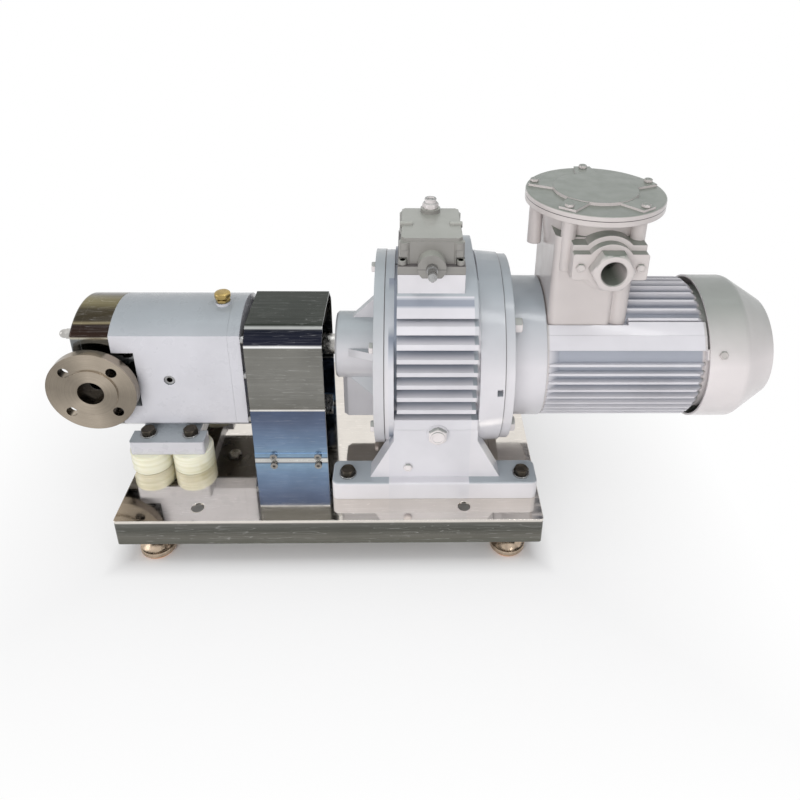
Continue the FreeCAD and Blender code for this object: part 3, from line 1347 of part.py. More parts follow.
def all_nodes():
    nodes = [("base_tray", tray())]
    nodes += levelling_feet()
    nodes += pump_feet()
    inlet = process_flange()
    nodes += [("bearing_frame", bearing_frame()), ("frame_end_cover", end_cover()),
              ("pump_case", pump_case()), ("front_cover", front_cover()),
              ("cover_seal_ring", seal_loop(ring_d / 2)),
              ("inlet_flange", inlet), ("outlet_flange", mirrored(inlet))]
    nodes += cover_fasteners()
    nodes += pump_inside()
    nodes += frame_plugs()
    nodes += coupling()
    nodes += guard()
    nodes += [("variator_front_cover", variator_cover()), ("variator_housing", variator_housing())]
    nodes += variator_plugs()
    nodes += variator_inside()
    nodes += control_parts()
    nodes += [("motor_drive_shield", motor_shield()), ("motor_frame", motor_frame()),
              ("motor_rear_shield", motor_rear()), ("fan_cowl", fan_cowl()), ("cooling_fan", fan())]
    nodes += motor_inside()
    nodes += [("terminal_box", terminal_box()), ("terminal_box_lid", box_lid())]
    nodes += gland_parts()
    return share_nodes(nodes)


shared = {
    "foot_bolt_sets": ["foot_plate_bolts", "foot_plate_washers", "foot_plate_nuts",
                       "variator_foot_bolts", "variator_foot_washers", "variator_foot_nuts"],
    "levelling_feet": ["levelling_studs", "levelling_lock_nuts"],
    "guard_fixings": ["guard_brackets", "guard_side_screws", "guard_anchor_screws"],
    "front_cover_studs": ["cover_cap_nuts", "cover_studs"],
    "sealed_bearings": ["pump_bearings", "output_bearing", "motor_bearings"],
    "rubber_seals": ["cover_seal_ring", "drive_shaft_lip_seal", "output_lip_seal"],
    "frame_plugs": ["oil_sight_plug", "frame_drain_plug"],
    "variator_plugs": ["variator_level_plug", "variator_drain_plug", "oil_filler_plug"],
    "socket_screws": ["end_cover_screws", "control_box_screws"],
    "variator_rim_bolts": ["variator_cover_bolts", "motor_flange_bolts"],
    "motor_cover_screws": ["cowl_screws", "gland_screws", "lid_bolts"],
    "process_flanges": ["inlet_flange", "outlet_flange"],
}


def share_nodes(nodes):
    """Like fasteners, seals and bearings share a node as separate solids."""
    made = dict(nodes)
    for name, members in shared.items():
        solids = []
        for member in members:
            solids += made.pop(member).Solids
        made[name] = group(solids)
    return sorted(made.items())


os.makedirs("parts", exist_ok=True)
for name, shape in all_nodes():
    shape.exportStep("parts/" + name + ".step")
    print(name, len(shape.Solids), round(shape.Volume), shape.isValid())
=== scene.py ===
# %% [markdown]
# # A rotary lobe pump set on its tray
# The set is a stainless pump head, a guarded coupling, a painted speed variator and a painted motor,
# all on a polished folded tray. The solids come from the CAD frame. This notebook gives each one its
# finish, and replaces the pieces whose roundness a plain solid can't show.

# %% Load the frame
import json
from math import radians

import bmesh
import bpy
import numpy as np
from mathutils import Matrix, Vector


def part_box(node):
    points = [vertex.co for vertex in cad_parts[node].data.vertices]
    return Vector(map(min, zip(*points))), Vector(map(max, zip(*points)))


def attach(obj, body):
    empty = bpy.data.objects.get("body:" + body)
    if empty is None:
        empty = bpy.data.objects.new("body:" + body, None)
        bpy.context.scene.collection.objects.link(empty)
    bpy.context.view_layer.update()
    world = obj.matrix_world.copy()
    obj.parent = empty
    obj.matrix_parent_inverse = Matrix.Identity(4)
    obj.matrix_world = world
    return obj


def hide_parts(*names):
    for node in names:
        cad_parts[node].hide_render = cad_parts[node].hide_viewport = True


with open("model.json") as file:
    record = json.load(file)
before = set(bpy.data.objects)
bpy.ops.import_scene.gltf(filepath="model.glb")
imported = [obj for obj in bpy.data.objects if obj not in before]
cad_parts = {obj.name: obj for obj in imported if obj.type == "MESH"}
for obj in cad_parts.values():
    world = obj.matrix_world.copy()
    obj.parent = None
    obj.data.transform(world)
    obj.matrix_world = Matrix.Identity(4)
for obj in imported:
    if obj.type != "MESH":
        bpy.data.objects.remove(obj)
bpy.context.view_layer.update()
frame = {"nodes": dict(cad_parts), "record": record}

MM = 0.001
CRISP_ANGLE = 32.0
WHITE = (1.0, 1.0, 1.0, 1.0)
nodes = frame["nodes"]

# %% [markdown]
# ## Places read off the solids
# A bolt set is one node with many solids in it. The places of the bolts come from the solids
# themselves, so that a new bolt always sits where the old one was. Corners at one place count as one
# point, and each triangle hands its lowest label to its corners until no label changes.

# %% Find the separate solids of a node
def solids_of(name):
    """Corner points of each separate solid of a node, in mm."""
    mesh = nodes[name].data
    mesh.calc_loop_triangles()
    co = np.empty(len(mesh.vertices) * 3, np.float32)
    mesh.vertices.foreach_get("co", co)
    tri = np.empty(len(mesh.loop_triangles) * 3, np.int32)
    mesh.loop_triangles.foreach_get("vertices", tri)
    places, label_of = np.unique(np.round(co.reshape(-1, 3), 6), axis=0, return_inverse=True)
    tri = label_of.reshape(-1)[tri].reshape(-1, 3)
    label = np.arange(len(places))
    while True:
        lowest = label[tri].min(axis=1)
        new = label.copy()
        np.minimum.at(new, tri.reshape(-1), np.repeat(lowest, 3))
        new = new[new]
        if (new == label).all():
            break
        label = new
    return [places[label == k].astype(float) / MM for k in np.unique(label)]


def middle(points):
    """Middle of a solid's box."""
    return (points.min(axis=0) + points.max(axis=0)) / 2


def size_of(points):
    """Lengths of a solid's box."""
    return points.max(axis=0) - points.min(axis=0)


print("bolt set solids", len(solids_of("foot_bolt_sets")))

# %% [markdown]
# ## Surfaces from arrays
# A turned piece is a grid of points, worked out as one array: a profile of heights and radii is
# carried round an axis. Where a row names a hexagon's corner radius, each point takes the smaller of
# the circle's radius and the hexagon's, which is how a lathe's chamfer meets the flats of a nut.

# %% Grid and piece helpers
def grid_faces(rows, cols, wrap_rows):
    """Four-sided faces between neighbouring rows and columns; the columns always close."""
    i = np.arange(rows if wrap_rows else rows - 1)[:, None]
    j = np.arange(cols)[None, :]
    below, after = (i + 1) % rows, (j + 1) % cols
    corners = [i * cols + j, i * cols + after, below * cols + after, below * cols + j]
    return np.stack(corners, -1).reshape(-1, 4)


def piece(name, grids, materials, body, replaced):
    """One object from several point grids in mm, with its sharper edges left crisp."""
    points, faces, inks, start = [], [], [], 0
    for grid, closed, ink in grids:
        rows, cols = grid.shape[:2]
        new = grid_faces(rows, cols, closed) + start
        points.append(grid.reshape(-1, 3) * MM)
        faces.append(new)
        inks.append(np.full(len(new), ink))
        start += rows * cols
    mesh = bpy.data.meshes.new(name)
    mesh.from_pydata(np.concatenate(points).tolist(), [], np.concatenate(faces).tolist())
    mesh.polygons.foreach_set("material_index", np.concatenate(inks))
    shell = bmesh.new()
    shell.from_mesh(mesh)
    bmesh.ops.remove_doubles(shell, verts=shell.verts, dist=2e-6)
    bmesh.ops.dissolve_degenerate(shell, edges=shell.edges, dist=1e-7)
    bmesh.ops.recalc_face_normals(shell, faces=shell.faces)
    shell.to_mesh(mesh)
    shell.free()
    mesh.polygons.foreach_set("use_smooth", np.ones(len(mesh.polygons), bool))
    mesh.set_sharp_from_angle(angle=radians(CRISP_ANGLE))
    made = bpy.data.objects.new(name, mesh)
    bpy.context.scene.collection.objects.link(made)
    for material in materials:
        mesh.materials.append(material)
    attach(made, body)
    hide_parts(*replaced)
    print(name, "faces", len(mesh.polygons))
    return made


def side_axes(direction):
    """Unit vectors along a direction and square to it; the first side vector lies along X or Z."""
    d = np.array(direction, float)
    d /= np.linalg.norm(d)
    u = np.array([0, 0, 1.0]) if abs(d[0]) > 0.9 else np.array([1.0, 0, 0])
    u = u - d * (u @ d)
    u /= np.linalg.norm(u)
    return d, u, np.cross(d, u)


def turned(rows, place, direction, count=48, turn=0.0, closed=False, ink=0):
    """Rows of (height, radius, hexagon corner radius or 0) carried round an axis. Each ring point is
    height along the axis plus radius times the cosine and sine of its angle across it."""
    rows = np.array([row if len(row) == 3 else (*row, 0.0) for row in rows], float)
    d, u, v = side_axes(direction)
    angle = np.arange(count) * 2 * np.pi / count
    flats = np.cos(np.pi / 6) / np.cos((angle - turn) % (np.pi / 3) - np.pi / 6)
    hexagon = np.where(rows[:, 2:3] > 0, rows[:, 2:3] * flats[None], np.inf)
    radius = np.minimum(rows[:, 1:2], hexagon)
    ring = u * np.cos(angle)[:, None] + v * np.sin(angle)[:, None]
    points = rows[:, 0, None, None] * d + radius[:, :, None] * ring[None]
    return np.array(place) + points, closed, ink


def seated(points, direction, head):
    """Seat point and whole length of a fastener whose head, of that height, ends the solid."""
    d, u, v = side_axes(direction)
    along, left, up = points @ d, points @ u, points @ v
    seat = d * (along.max() - head) + u * (left.max() + left.min()) / 2 + v * (up.max() + up.min()) / 2
    return seat, along.max() - along.min()


def threaded(start, stop, radius, pitch):
    """Rows of rings, each a crest and a root, that stand for a screw thread."""
    turns = max(2, int(abs(stop - start) / pitch))
    height = np.linspace(start, stop, 2 * turns + 1)
    depth = np.where(np.arange(len(height)) % 2, radius - 0.6 * pitch, radius)
    return list(zip(height.tolist(), depth.tolist()))


def bolt_rows(length, radius, head, across, pitch=1.2):
    """A hexagon bolt from the tip of its shank to the top of its chamfered head."""
    corner = across / 2 / np.cos(np.pi / 6)
    tip = head - length
    shank = [(tip, 0), (tip, radius - 0.9)] + threaded(tip + 0.9, -0.4, radius, pitch)
    top = [(0, radius), (0, 0.46 * across), (0.5, 0.46 * across), (0.5, corner, corner),
           (head - 0.1 * across, corner, corner), (head - 0.05 * across, 0.525 * across, corner),
           (head, 0.46 * across, corner), (head, 0.34 * across), (head - 0.35, 0.31 * across),
           (head - 0.35, 0)]
    return shank + top


def nut_rows(height, bore, across):
    """A hexagon nut as a closed loop, chamfered at both ends."""
    corner = across / 2 / np.cos(np.pi / 6)
    cut = 0.09 * across
    return [(0.6, bore), (0, bore + 0.6), (0, 0.46 * across), (cut / 2, 0.53 * across, corner),
            (cut, corner, corner), (height - cut, corner, corner), (height - cut / 2, 0.53 * across, corner),
            (height, 0.46 * across), (height, bore + 0.6), (height - 0.6, bore)]


def washer_rows(height, bore, radius):
    """A flat ring as a closed loop, with its upper edge broken."""
    return [(0, bore), (0, radius), (height - 0.35, radius), (height, radius - 0.35), (height, bore)]


# %% [markdown]
# ## Node materials
# Each finish is a small node graph that reads Object coordinates, so that its grain stays put on the
# piece. The helpers below add a noise, a ramp and a bump. A Bevel node softens the normals at the
# solids' edges, which gives castings and folded sheet the thin highlight that real edges have.

# %% Material helpers
def linear(red, green, blue):
    """Screen colour of 0 to 255 made linear: the sRGB curve, piece by piece."""
    c = np.array([red, green, blue], float) / 255
    c = np.where(c <= 0.04045, c / 12.92, ((c + 0.055) / 1.055) ** 2.4)
    return (*c.tolist(), 1.0)


class Finish:
    """A material with its shader, its coordinates and the links between them."""

    def __init__(self, name, colour, metallic=0.0, roughness=0.5, **sockets):
        self.material = bpy.data.materials.new(name)
        self.material.use_nodes = True
        self.tree = self.material.node_tree
        self.shader = self.tree.nodes["Principled BSDF"]
        self.shader.inputs["Base Color"].default_value = colour
        self.shader.inputs["Metallic"].default_value = metallic
        self.shader.inputs["Roughness"].default_value = roughness
        for socket, value in sockets.items():
            self.shader.inputs[socket.replace("_", " ")].default_value = value
        self.place = self.tree.nodes.new("ShaderNodeTexCoord").outputs["Object"]
        self.normal = None

    def link(self, a, b):
        self.tree.links.new(a, b)

    def stretched(self, scale, turn=(0.0, 0.0, 0.0)):
        """Object coordinates turned and stretched, so that a round grain becomes long lines."""
        node = self.tree.nodes.new("ShaderNodeMapping")
        node.inputs["Scale"].default_value = scale
        node.inputs["Rotation"].default_value = turn
        self.link(self.place, node.inputs["Vector"])
        return node.outputs["Vector"]

    def noise(self, scale, detail=3.0, place=None, rough=0.5):
        """A cloudy value about 0.5, so many clouds to the metre."""
        node = self.tree.nodes.new("ShaderNodeTexNoise")
        node.inputs["Scale"].default_value = scale
        node.inputs["Detail"].default_value = detail
        node.inputs["Roughness"].default_value = rough
        self.link(place or self.place, node.inputs["Vector"])
        return node.outputs["Fac"]

    def ramp(self, fac, stops):
        """Colours or greys at places from 0 to 1."""
        node = self.tree.nodes.new("ShaderNodeValToRGB")
        while len(node.color_ramp.elements) < len(stops):
            node.color_ramp.elements.new(0.5)
        for element, (at, colour) in zip(node.color_ramp.elements, stops):
            element.position = at
            element.color = colour if hasattr(colour, "__len__") else (colour, colour, colour, 1.0)
        self.link(fac, node.inputs["Fac"])
        return node.outputs["Color"]

    def mix(self, fac, a, b, how="MIX"):
        """Two colours blended by a factor; each may be a value or a link."""
        node = self.tree.nodes.new("ShaderNodeMix")
        node.data_type = "RGBA"
        node.blend_type = how
        for socket, value in ((node.inputs["Factor"], fac), (node.inputs[6], a), (node.inputs[7], b)):
            if isinstance(value, bpy.types.NodeSocket):
                self.link(value, socket)
            else:
                socket.default_value = value
        return node.outputs[2]

    def math(self, how, a, b):
        """One sum on two numbers; each may be a value or a link."""
        node = self.tree.nodes.new("ShaderNodeMath")
        node.operation = how
        for socket, value in zip(node.inputs, (a, b)):
            if isinstance(value, bpy.types.NodeSocket):
                self.link(value, socket)
            else:
                socket.default_value = value
        return node.outputs[0]

    def along(self, axis, source=None):
        """One coordinate of a place or of another vector."""
        split = self.tree.nodes.new("ShaderNodeSeparateXYZ")
        self.link(source or self.place, split.inputs[0])
        return split.outputs["XYZ".index(axis)]

    def joined(self, value):
        """A value made the X of a place, so that a noise can read it."""
        node = self.tree.nodes.new("ShaderNodeCombineXYZ")
        self.link(value, node.inputs[0])
        return node.outputs[0]

    def spread(self, value, low, high):
        """A value made to run from 0 at low to 1 at high."""
        node = self.tree.nodes.new("ShaderNodeMapRange")
        node.inputs["From Min"].default_value = low
        node.inputs["From Max"].default_value = high
        self.link(value, node.inputs["Value"])
        return node.outputs["Result"]

    def facing(self, axis, low, high):
        """How far a face looks along an axis, from 0 to 1."""
        geometry = self.tree.nodes.new("ShaderNodeNewGeometry")
        return self.spread(self.along(axis, geometry.outputs["Normal"]), low, high)

    def off(self, axis, at):
        """Distance from a plane across an axis."""
        return self.math("ABSOLUTE", self.math("SUBTRACT", self.along(axis), at), 0.0)

    def line(self, axis, at, width):
        """1 in a thin band across an axis and 0 elsewhere, in metres."""
        return self.spread(self.off(axis, at), width, width * 0.4)

    def from_axis(self, centre, axis):
        """Distance from a line along an axis through a centre."""
        node = self.tree.nodes.new("ShaderNodeMapping")
        node.inputs["Scale"].default_value = [0.0 if k == axis else 1.0 for k in "XYZ"]
        node.inputs["Location"].default_value = [0.0 if k == axis else -c for k, c in zip("XYZ", centre)]
        self.link(self.place, node.inputs["Vector"])
        length = self.tree.nodes.new("ShaderNodeVectorMath")
        length.operation = "LENGTH"
        self.link(node.outputs["Vector"], length.inputs[0])
        return length.outputs["Value"]

    def bevel(self, radius):
        """Edges rounded by so many mm in the shading only."""
        node = self.tree.nodes.new("ShaderNodeBevel")
        node.samples = 4
        node.inputs["Radius"].default_value = radius * MM
        self.normal = node.outputs["Normal"]
        return self

    def bump(self, height, strength, distance):
        """A bump of so many mm, on top of the bevel or an earlier bump."""
        node = self.tree.nodes.new("ShaderNodeBump")
        node.inputs["Strength"].default_value = strength
        node.inputs["Distance"].default_value = distance * MM
        self.link(height, node.inputs["Height"])
        if self.normal is not None:
            self.link(self.normal, node.inputs["Normal"])
        self.normal = node.outputs["Normal"]
        return self

    def colour(self, socket):
        """Base colour from the graph."""
        self.link(socket, self.shader.inputs["Base Color"])
        return self

    def rough(self, socket):
        """Roughness from the graph."""
        self.link(socket, self.shader.inputs["Roughness"])
        return self

    def done(self):
        """The material, with its normal joined up."""
        if self.normal is not None:
            self.link(self.normal, self.shader.inputs["Normal"])
        return self.material


# %% [markdown]
# ### Paint
# The variator and the motor wear a pale grey machine enamel, sprayed thick over rough castings. It
# has a fine orange peel and a slightly warm tone on the walls; what looks up is greener and darker,
# as painted shade. Joints between two castings show as thin dark lines, because the paint cracks
# there. The pump's bearing frame is smoother and cooler, with painted shade on its underside.
#
# Ribs and fins are painted dark at the root and light at the tip, as painted shade between them and
# painted light on their edges. The depth on a rib is a distance, from the line that the housing's
# shoulder is round or from the motor's axis, so one ramp serves both. The groove over the top rib is
# not modelled; painted shade stands for it as a dark band.

# %% Painted castings
def enamel(name, wall, top, peel=0.3, soft=1.6, gloss=0.36, cast=0.4, joints=(), around=None,
           ribs=None, under=None):
    """Enamel: two tones by the way a face looks, the tone of upward faces being painted light and shade,
    cloudy spots, a wavy skin, a fine peel and joints, which may be kept within a radius of a line along X.
    Between ribs the tone runs from root to tip as painted shade and light, over a depth that the
    caller's function gives. A face that looks straight down may take a tone of painted shade."""
    f = Finish(name, wall, roughness=gloss, Coat_Weight=0.5, Coat_Roughness=0.12)
    spots = f.ramp(f.noise(14.0, 4.0), [(0.3, 0.88), (0.62, 1.0)])
    # Faces that look up take the top tone, which is painted light and shade.
    tone = f.mix(f.facing("Z", 0.25, 0.9), wall, top)
    if ribs:
        depth, inside = ribs(f)
        # Painted shade at the roots of ribs and fins, painted light at their tips.
        rib_shading = f.ramp(depth, [(0.0, RIB_ROOT), (0.35, RIB_MIDDLE), (0.8, RIB_TIP), (1.0, RIB_TIP)])
        tone = f.mix(inside, tone, rib_shading)
    if under:
        # Faces that look straight down take painted shade.
        tone = f.mix(f.facing("Z", -0.85, -0.95), tone, under)
    tone = f.mix(0.8, tone, spots, "MULTIPLY")
    for axis, at in joints:
        dark = f.line(axis, at, JOINT_WIDTH)
        if around:
            centre, reach = around
            near = f.spread(f.from_axis(centre, "X"), reach, reach - SOFT_EDGE)
            dark = f.math("MULTIPLY", dark, near)
        tone = f.mix(dark, tone, JOINT_TONE)
    f.colour(tone)
    f.rough(f.ramp(f.noise(60.0, 3.0), [(0.3, gloss - 0.08), (0.7, gloss + 0.12)]))
    f.bevel(soft)
    f.bump(f.noise(55.0, 2.0), cast, 0.6)
    f.bump(f.noise(420.0, 2.0), peel, 0.12)
    return f.done()


tray_low, tray_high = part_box("base_tray")
disc_low, disc_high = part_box("variator_front_cover")
barrel_low, barrel_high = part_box("motor_frame")
shield_low, lid_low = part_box("motor_drive_shield")[0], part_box("terminal_box_lid")[0]
control_low, control_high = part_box("control_box")
deck = tray_high.z
disc_middle, disc_radius = (disc_low.z + disc_high.z) / 2, (disc_high.z - disc_low.z) / 2

JOINT_WIDTH, SOFT_EDGE = 0.0007, 0.0005
SPIGOT_STEP, CONTROL_PLATE = 0.005, 0.0112
SHOULDER_IN, SHOULDER_UP, SIDE_RADIUS, RIB_RADIUS = 0.040, 0.199, 0.071, 0.087
RIB_FIELD, RIB_TOP, GROOVE_AT, GROOVE_WIDTH = 0.052, 0.2715, 0.266, 0.0055
FIN_ROOT, FIN_TIP, AXIS_HEIGHT = 0.080, 0.094, 0.148
# Rib tones: painted shade at the root, painted light at the tip.
RIB_ROOT, RIB_MIDDLE, RIB_TIP = linear(122, 130, 144), linear(172, 176, 186), linear(214, 213, 218)
# The underside tone is painted shade.
JOINT_TONE, UNDERSIDE_SHADE = linear(96, 92, 92), linear(52, 46, 40)


def housing_ribs(f):
    """How far out a place lies on the housing's ribs, and whether it lies between them. The depth is
    taken from the line that the shoulder is round, and the groove over the top rib counts as deep."""
    along = f.off("X", (control_low.x + control_high.x) / 2)
    out = f.math("MAXIMUM", f.math("SUBTRACT", f.off("Y", 0.0), SHOULDER_IN), 0.0)
    up = f.math("MAXIMUM", f.math("SUBTRACT", f.along("Z"), deck + SHOULDER_UP), 0.0)
    away = f.math("SQRT", f.math("ADD", f.math("POWER", out, 2.0), f.math("POWER", up, 2.0)), 0.0)
    field = f.math("MULTIPLY", f.spread(along, RIB_FIELD, RIB_FIELD - 0.001),
                   f.spread(away, SIDE_RADIUS - 0.004, SIDE_RADIUS - 0.001))
    below = f.spread(f.along("Z"), deck + RIB_TOP, deck + RIB_TOP - SOFT_EDGE)
    # The groove, which is not modelled, takes painted shade as if it were deep.
    groove = f.math("MULTIPLY", f.line("Z", deck + GROOVE_AT, GROOVE_WIDTH), 0.9)
    depth = f.math("SUBTRACT", f.spread(away, SIDE_RADIUS, RIB_RADIUS), groove)
    return depth, f.math("MULTIPLY", field, below)


def motor_fins(f):
    """How far out a place lies on the motor's fins, and whether it lies between the shields."""
    away = f.from_axis((0.0, 0.0, deck + AXIS_HEIGHT), "X")
    ends = [f.spread(f.along("X"), at + 0.002 * way, at + 0.004 * way)
            for at, way in ((barrel_low.x, 1), (barrel_high.x, -1))]
    return f.spread(away, FIN_ROOT, FIN_TIP), f.math("MULTIPLY", *ends)


cast_enamel = enamel("cast_enamel", linear(226, 220, 220), linear(150, 154, 149))
gear_enamel = enamel("gear_enamel", linear(218, 216, 220), linear(160, 168, 174), 0.4,
                     joints=[("X", disc_high.x), ("X", shield_low.x + SPIGOT_STEP)],
                     around=((0.0, 0.0, disc_middle), disc_radius + 0.001), ribs=housing_ribs)
fin_enamel = enamel("fin_enamel", linear(212, 206, 206), linear(160, 162, 160), 0.25, 1.0, cast=0.3,
                    ribs=motor_fins)
nose_enamel = enamel("nose_enamel", linear(203, 202, 206), linear(164, 172, 176), 0.6,
                     joints=[("X", disc_high.x)])
smooth_enamel = enamel("smooth_enamel", linear(202, 202, 208), linear(160, 167, 172), 0.15, 1.2, 0.3,
                       cast=0.1, under=UNDERSIDE_SHADE)
box_enamel = enamel("box_enamel", linear(205, 198, 196), linear(122, 129, 120), 0.35, 1.8, 0.4,
                    joints=[("Z", lid_low.z)])
control_enamel = enamel("control_enamel", linear(138, 136, 132), linear(164, 166, 158), soft=1.4,
                        joints=[("Z", control_low.z), ("Z", control_low.z + CONTROL_PLATE)])

# %% [markdown]
# ### Stainless steel
# The tray and the guard are folded from bright sheet. A mirror finish is a metal with very low
# roughness, a little waviness, straight hair scratches and a faint haze where the polish has worn.
# Scratches are a noise that is stretched a hundred times along one axis, of which only a narrow band
# of values counts. They are lighter and rougher than the sheet, and a second, coarser set of scars
# only lightens it. The guard's panels lean different ways and each one mirrors another part of the
# room; that is painted into its tone as bands over its height, with a thin painted highlight at each
# fold. The tray's and the pump case's tones are painted reflections in the same way.
#
# A lathe-cut flange throws back two bright and two dark sectors, because its rings lie square to the
# light on one pair of sides only. They are painted reflection, the sine of twice the angle about its axis.

# %% Polished and turned steel
def scratches(f, scale, turn, low, high):
    """Thin lines: a stretched noise, of which only a narrow band counts."""
    middle_value = (low + high) / 2
    return f.ramp(f.noise(1.0, 0.0, f.stretched(scale, turn)), [(low, 0.0), (middle_value, 1.0), (high, 0.0)])


def mirror_steel(name, bands, low, high, wave=0.03, roughness=(0.03, 0.09), haze=0.25, wander=0.03,
                 marks=0.15):
    """Bright sheet whose tone runs through bands of painted reflection and painted highlight over its
    height, with waves, haze and scratches. A band is a share of the height and a screen colour."""
    bands = [(at, linear(*tone)) for at, *tone in bands]
    f = Finish(name, bands[0][1], metallic=1.0, roughness=roughness[0])
    height = f.spread(f.along("Z"), low, high)
    strays = f.math("MULTIPLY", f.math("SUBTRACT", f.noise(7.0, 2.0), 0.5), wander)
    # Painted reflection: the tone bands over the height stand for what the sheet mirrors.
    tone = f.ramp(f.math("ADD", height, strays), bands)
    cloud = f.ramp(f.noise(18.0, 5.0, rough=0.6), [(0.32, 0.7), (0.6, 1.0)])
    lines = f.mix(1.0, scratches(f, (6.0, 700.0, 700.0), (0.1, 0.06, 0.3), 0.6, 0.625),
                  scratches(f, (8.0, 900.0, 900.0), (0.0, 0.5, -0.7), 0.61, 0.63), "ADD")
    scars = scratches(f, (26.0, 300.0, 300.0), (0.3, -0.8, 0.2), 0.66, 0.7)
    tone = f.mix(haze, tone, cloud, "MULTIPLY")
    f.colour(f.mix(marks, tone, f.mix(1.0, lines, scars, "ADD"), "ADD"))
    dull = f.ramp(f.noise(30.0, 4.0), [(0.35, roughness[0]), (0.75, roughness[1])])
    f.rough(f.mix(0.12, dull, lines, "ADD"))
    f.bevel(1.4)
    f.bump(f.noise(9.0, 1.0), wave, 3.0)
    f.bump(lines, 0.08, 0.05)
    return f.done()


# Painted reflections and painted highlights of the tray, guard and pump case, as bands over height.
TRAY_REFLECTION_BANDS = [(0.0, 104, 104, 96), (0.3, 114, 112, 105), (0.6, 90, 90, 84), (0.88, 106, 106, 102),
              (0.93, 228, 222, 214)]
GUARD_REFLECTION_BANDS = [(0.0, 230, 236, 240), (0.014, 226, 232, 238), (0.02, 84, 96, 120), (0.03, 150, 184, 218),
               (0.12, 134, 162, 200), (0.3, 106, 122, 154), (0.4, 92, 106, 136), (0.404, 255, 255, 255),
               (0.412, 250, 250, 250), (0.417, 122, 121, 116), (0.6, 134, 133, 128), (0.88, 124, 123, 118),
               (0.884, 255, 255, 255), (0.894, 250, 250, 250), (0.9, 40, 42, 56), (0.972, 32, 35, 46),
               (0.976, 190, 192, 190), (0.986, 180, 182, 180), (0.99, 58, 62, 57), (1.0, 58, 62, 57)]
PUMP_REFLECTION_BANDS = [(0.0, 96, 92, 86), (0.6, 74, 76, 80), (0.7, 82, 86, 92), (0.84, 120, 122, 122),
              (0.858, 190, 184, 168), (0.868, 56, 42, 36), (0.93, 48, 38, 34), (0.937, 150, 140, 112),
              (0.947, 64, 58, 47), (0.985, 72, 66, 52), (1.0, 128, 120, 88)]
WORN = (0.08, 0.2)
guard_low, guard_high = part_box("coupling_guard")
case_low, case_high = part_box("pump_case")
tray_steel = mirror_steel("tray_steel", TRAY_REFLECTION_BANDS, tray_low.z, tray_high.z)
guard_steel = mirror_steel("guard_steel", GUARD_REFLECTION_BANDS, guard_low.z, guard_high.z, 0.05, WORN, 0.5, 0.004,
                           0.12)
pump_steel = mirror_steel("pump_steel", PUMP_REFLECTION_BANDS, case_low.z, case_high.z, 0.04, WORN, 0.45, 0.02)


def turned_steel(name, colour, centre, axis, spacing):
    """Lathe-cut face: rings about an axis so many mm apart, and two bright and two dark sectors of painted
    reflection.
    """
    f = Finish(name, colour, metallic=1.0, roughness=0.24)
    away = f.from_axis(centre, axis)
    rings = f.math("SINE", f.math("MULTIPLY", away, 6283.0 / spacing), 0.0)
    cloud = f.ramp(f.noise(40.0, 4.0), [(0.3, 0.8), (0.7, 1.0)])
    tone = f.mix(0.6, colour, cloud, "MULTIPLY")
    coarse = f.noise(1.0, 2.0, f.joined(f.math("MULTIPLY", away, 900.0)))
    tone = f.mix(0.5, tone, f.ramp(coarse, [(0.35, 0.6), (0.65, 1.0)]), "MULTIPLY")
    side, up = [f.math("SUBTRACT", f.along(k), centre["XYZ".index(k)]) for k in "XYZ" if k != axis]
    strays = f.math("MULTIPLY", f.noise(9.0, 1.0), 0.5)
    # Painted reflection: bright and dark sectors round the axis.
    angle = f.math("ADD", f.math("ADD", f.math("ARCTAN2", up, side), strays), SECTOR_TURN)
    sector = f.spread(f.math("SINE", f.math("MULTIPLY", angle, 2.0), 0.0), -1.0, 1.0)
    tone = f.mix(0.85, tone, f.ramp(sector, [(0.1, 0.52), (0.45, 0.7), (0.85, 1.0)]), "MULTIPLY")
    f.colour(tone)
    f.bevel(0.8)
    f.bump(rings, 0.3, 0.05)
    f.bump(f.noise(300.0, 2.0), 0.08, 0.05)
    return f.done()


def plain_metal(name, colour, roughness, grain=0.25, low=0.6):
    """Bolts, brass and cast parts: cloudy tone down to a low share, uneven gloss and a fine grain."""
    f = Finish(name, colour, metallic=1.0, roughness=roughness)
    f.colour(f.mix(0.8, colour, f.ramp(f.noise(120.0, 4.0), [(0.3, low), (0.65, 1.0)]), "MULTIPLY"))
    f.rough(f.ramp(f.noise(200.0, 3.0), [(0.3, roughness - 0.08), (0.7, roughness + 0.15)]))
    f.bevel(0.4)
    f.bump(f.noise(600.0, 3.0), grain, 0.1)
    return f.done()


SECTOR_TURN = -0.6
flange_low, flange_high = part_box("process_flanges")
flange_middle = ((flange_low.x + flange_high.x) / 2, 0.0, (flange_low.z + flange_high.z) / 2)
flange_steel = turned_steel("flange_steel", linear(186, 174, 158), flange_middle, "Y", 1.1)
dark_steel = plain_metal("dark_steel", linear(84, 78, 70), 0.4, low=0.4)
black_steel = plain_metal("black_steel", linear(46, 44, 42), 0.42)
zinc_steel = plain_metal("zinc_steel", linear(176, 176, 176), 0.26)
bright_steel = plain_metal("bright_steel", linear(200, 198, 194), 0.16, 0.1)
brass = plain_metal("brass", linear(184, 160, 104), 0.26, 0.2)
machined_iron = plain_metal("machined_iron", linear(96, 94, 92), 0.4)
bell_steel = plain_metal("bell_steel", linear(206, 186, 164), 0.22)
copper = plain_metal("winding_copper", linear(176, 104, 62), 0.35)

# %% [markdown]
# ### Nylon, rubber and plastic
# The spacers are sawn and turned from cream nylon bar, so they are a little waxy: light enters and
# spreads under the skin, which Subsurface Weight stands for. Turning leaves faint rings round them.

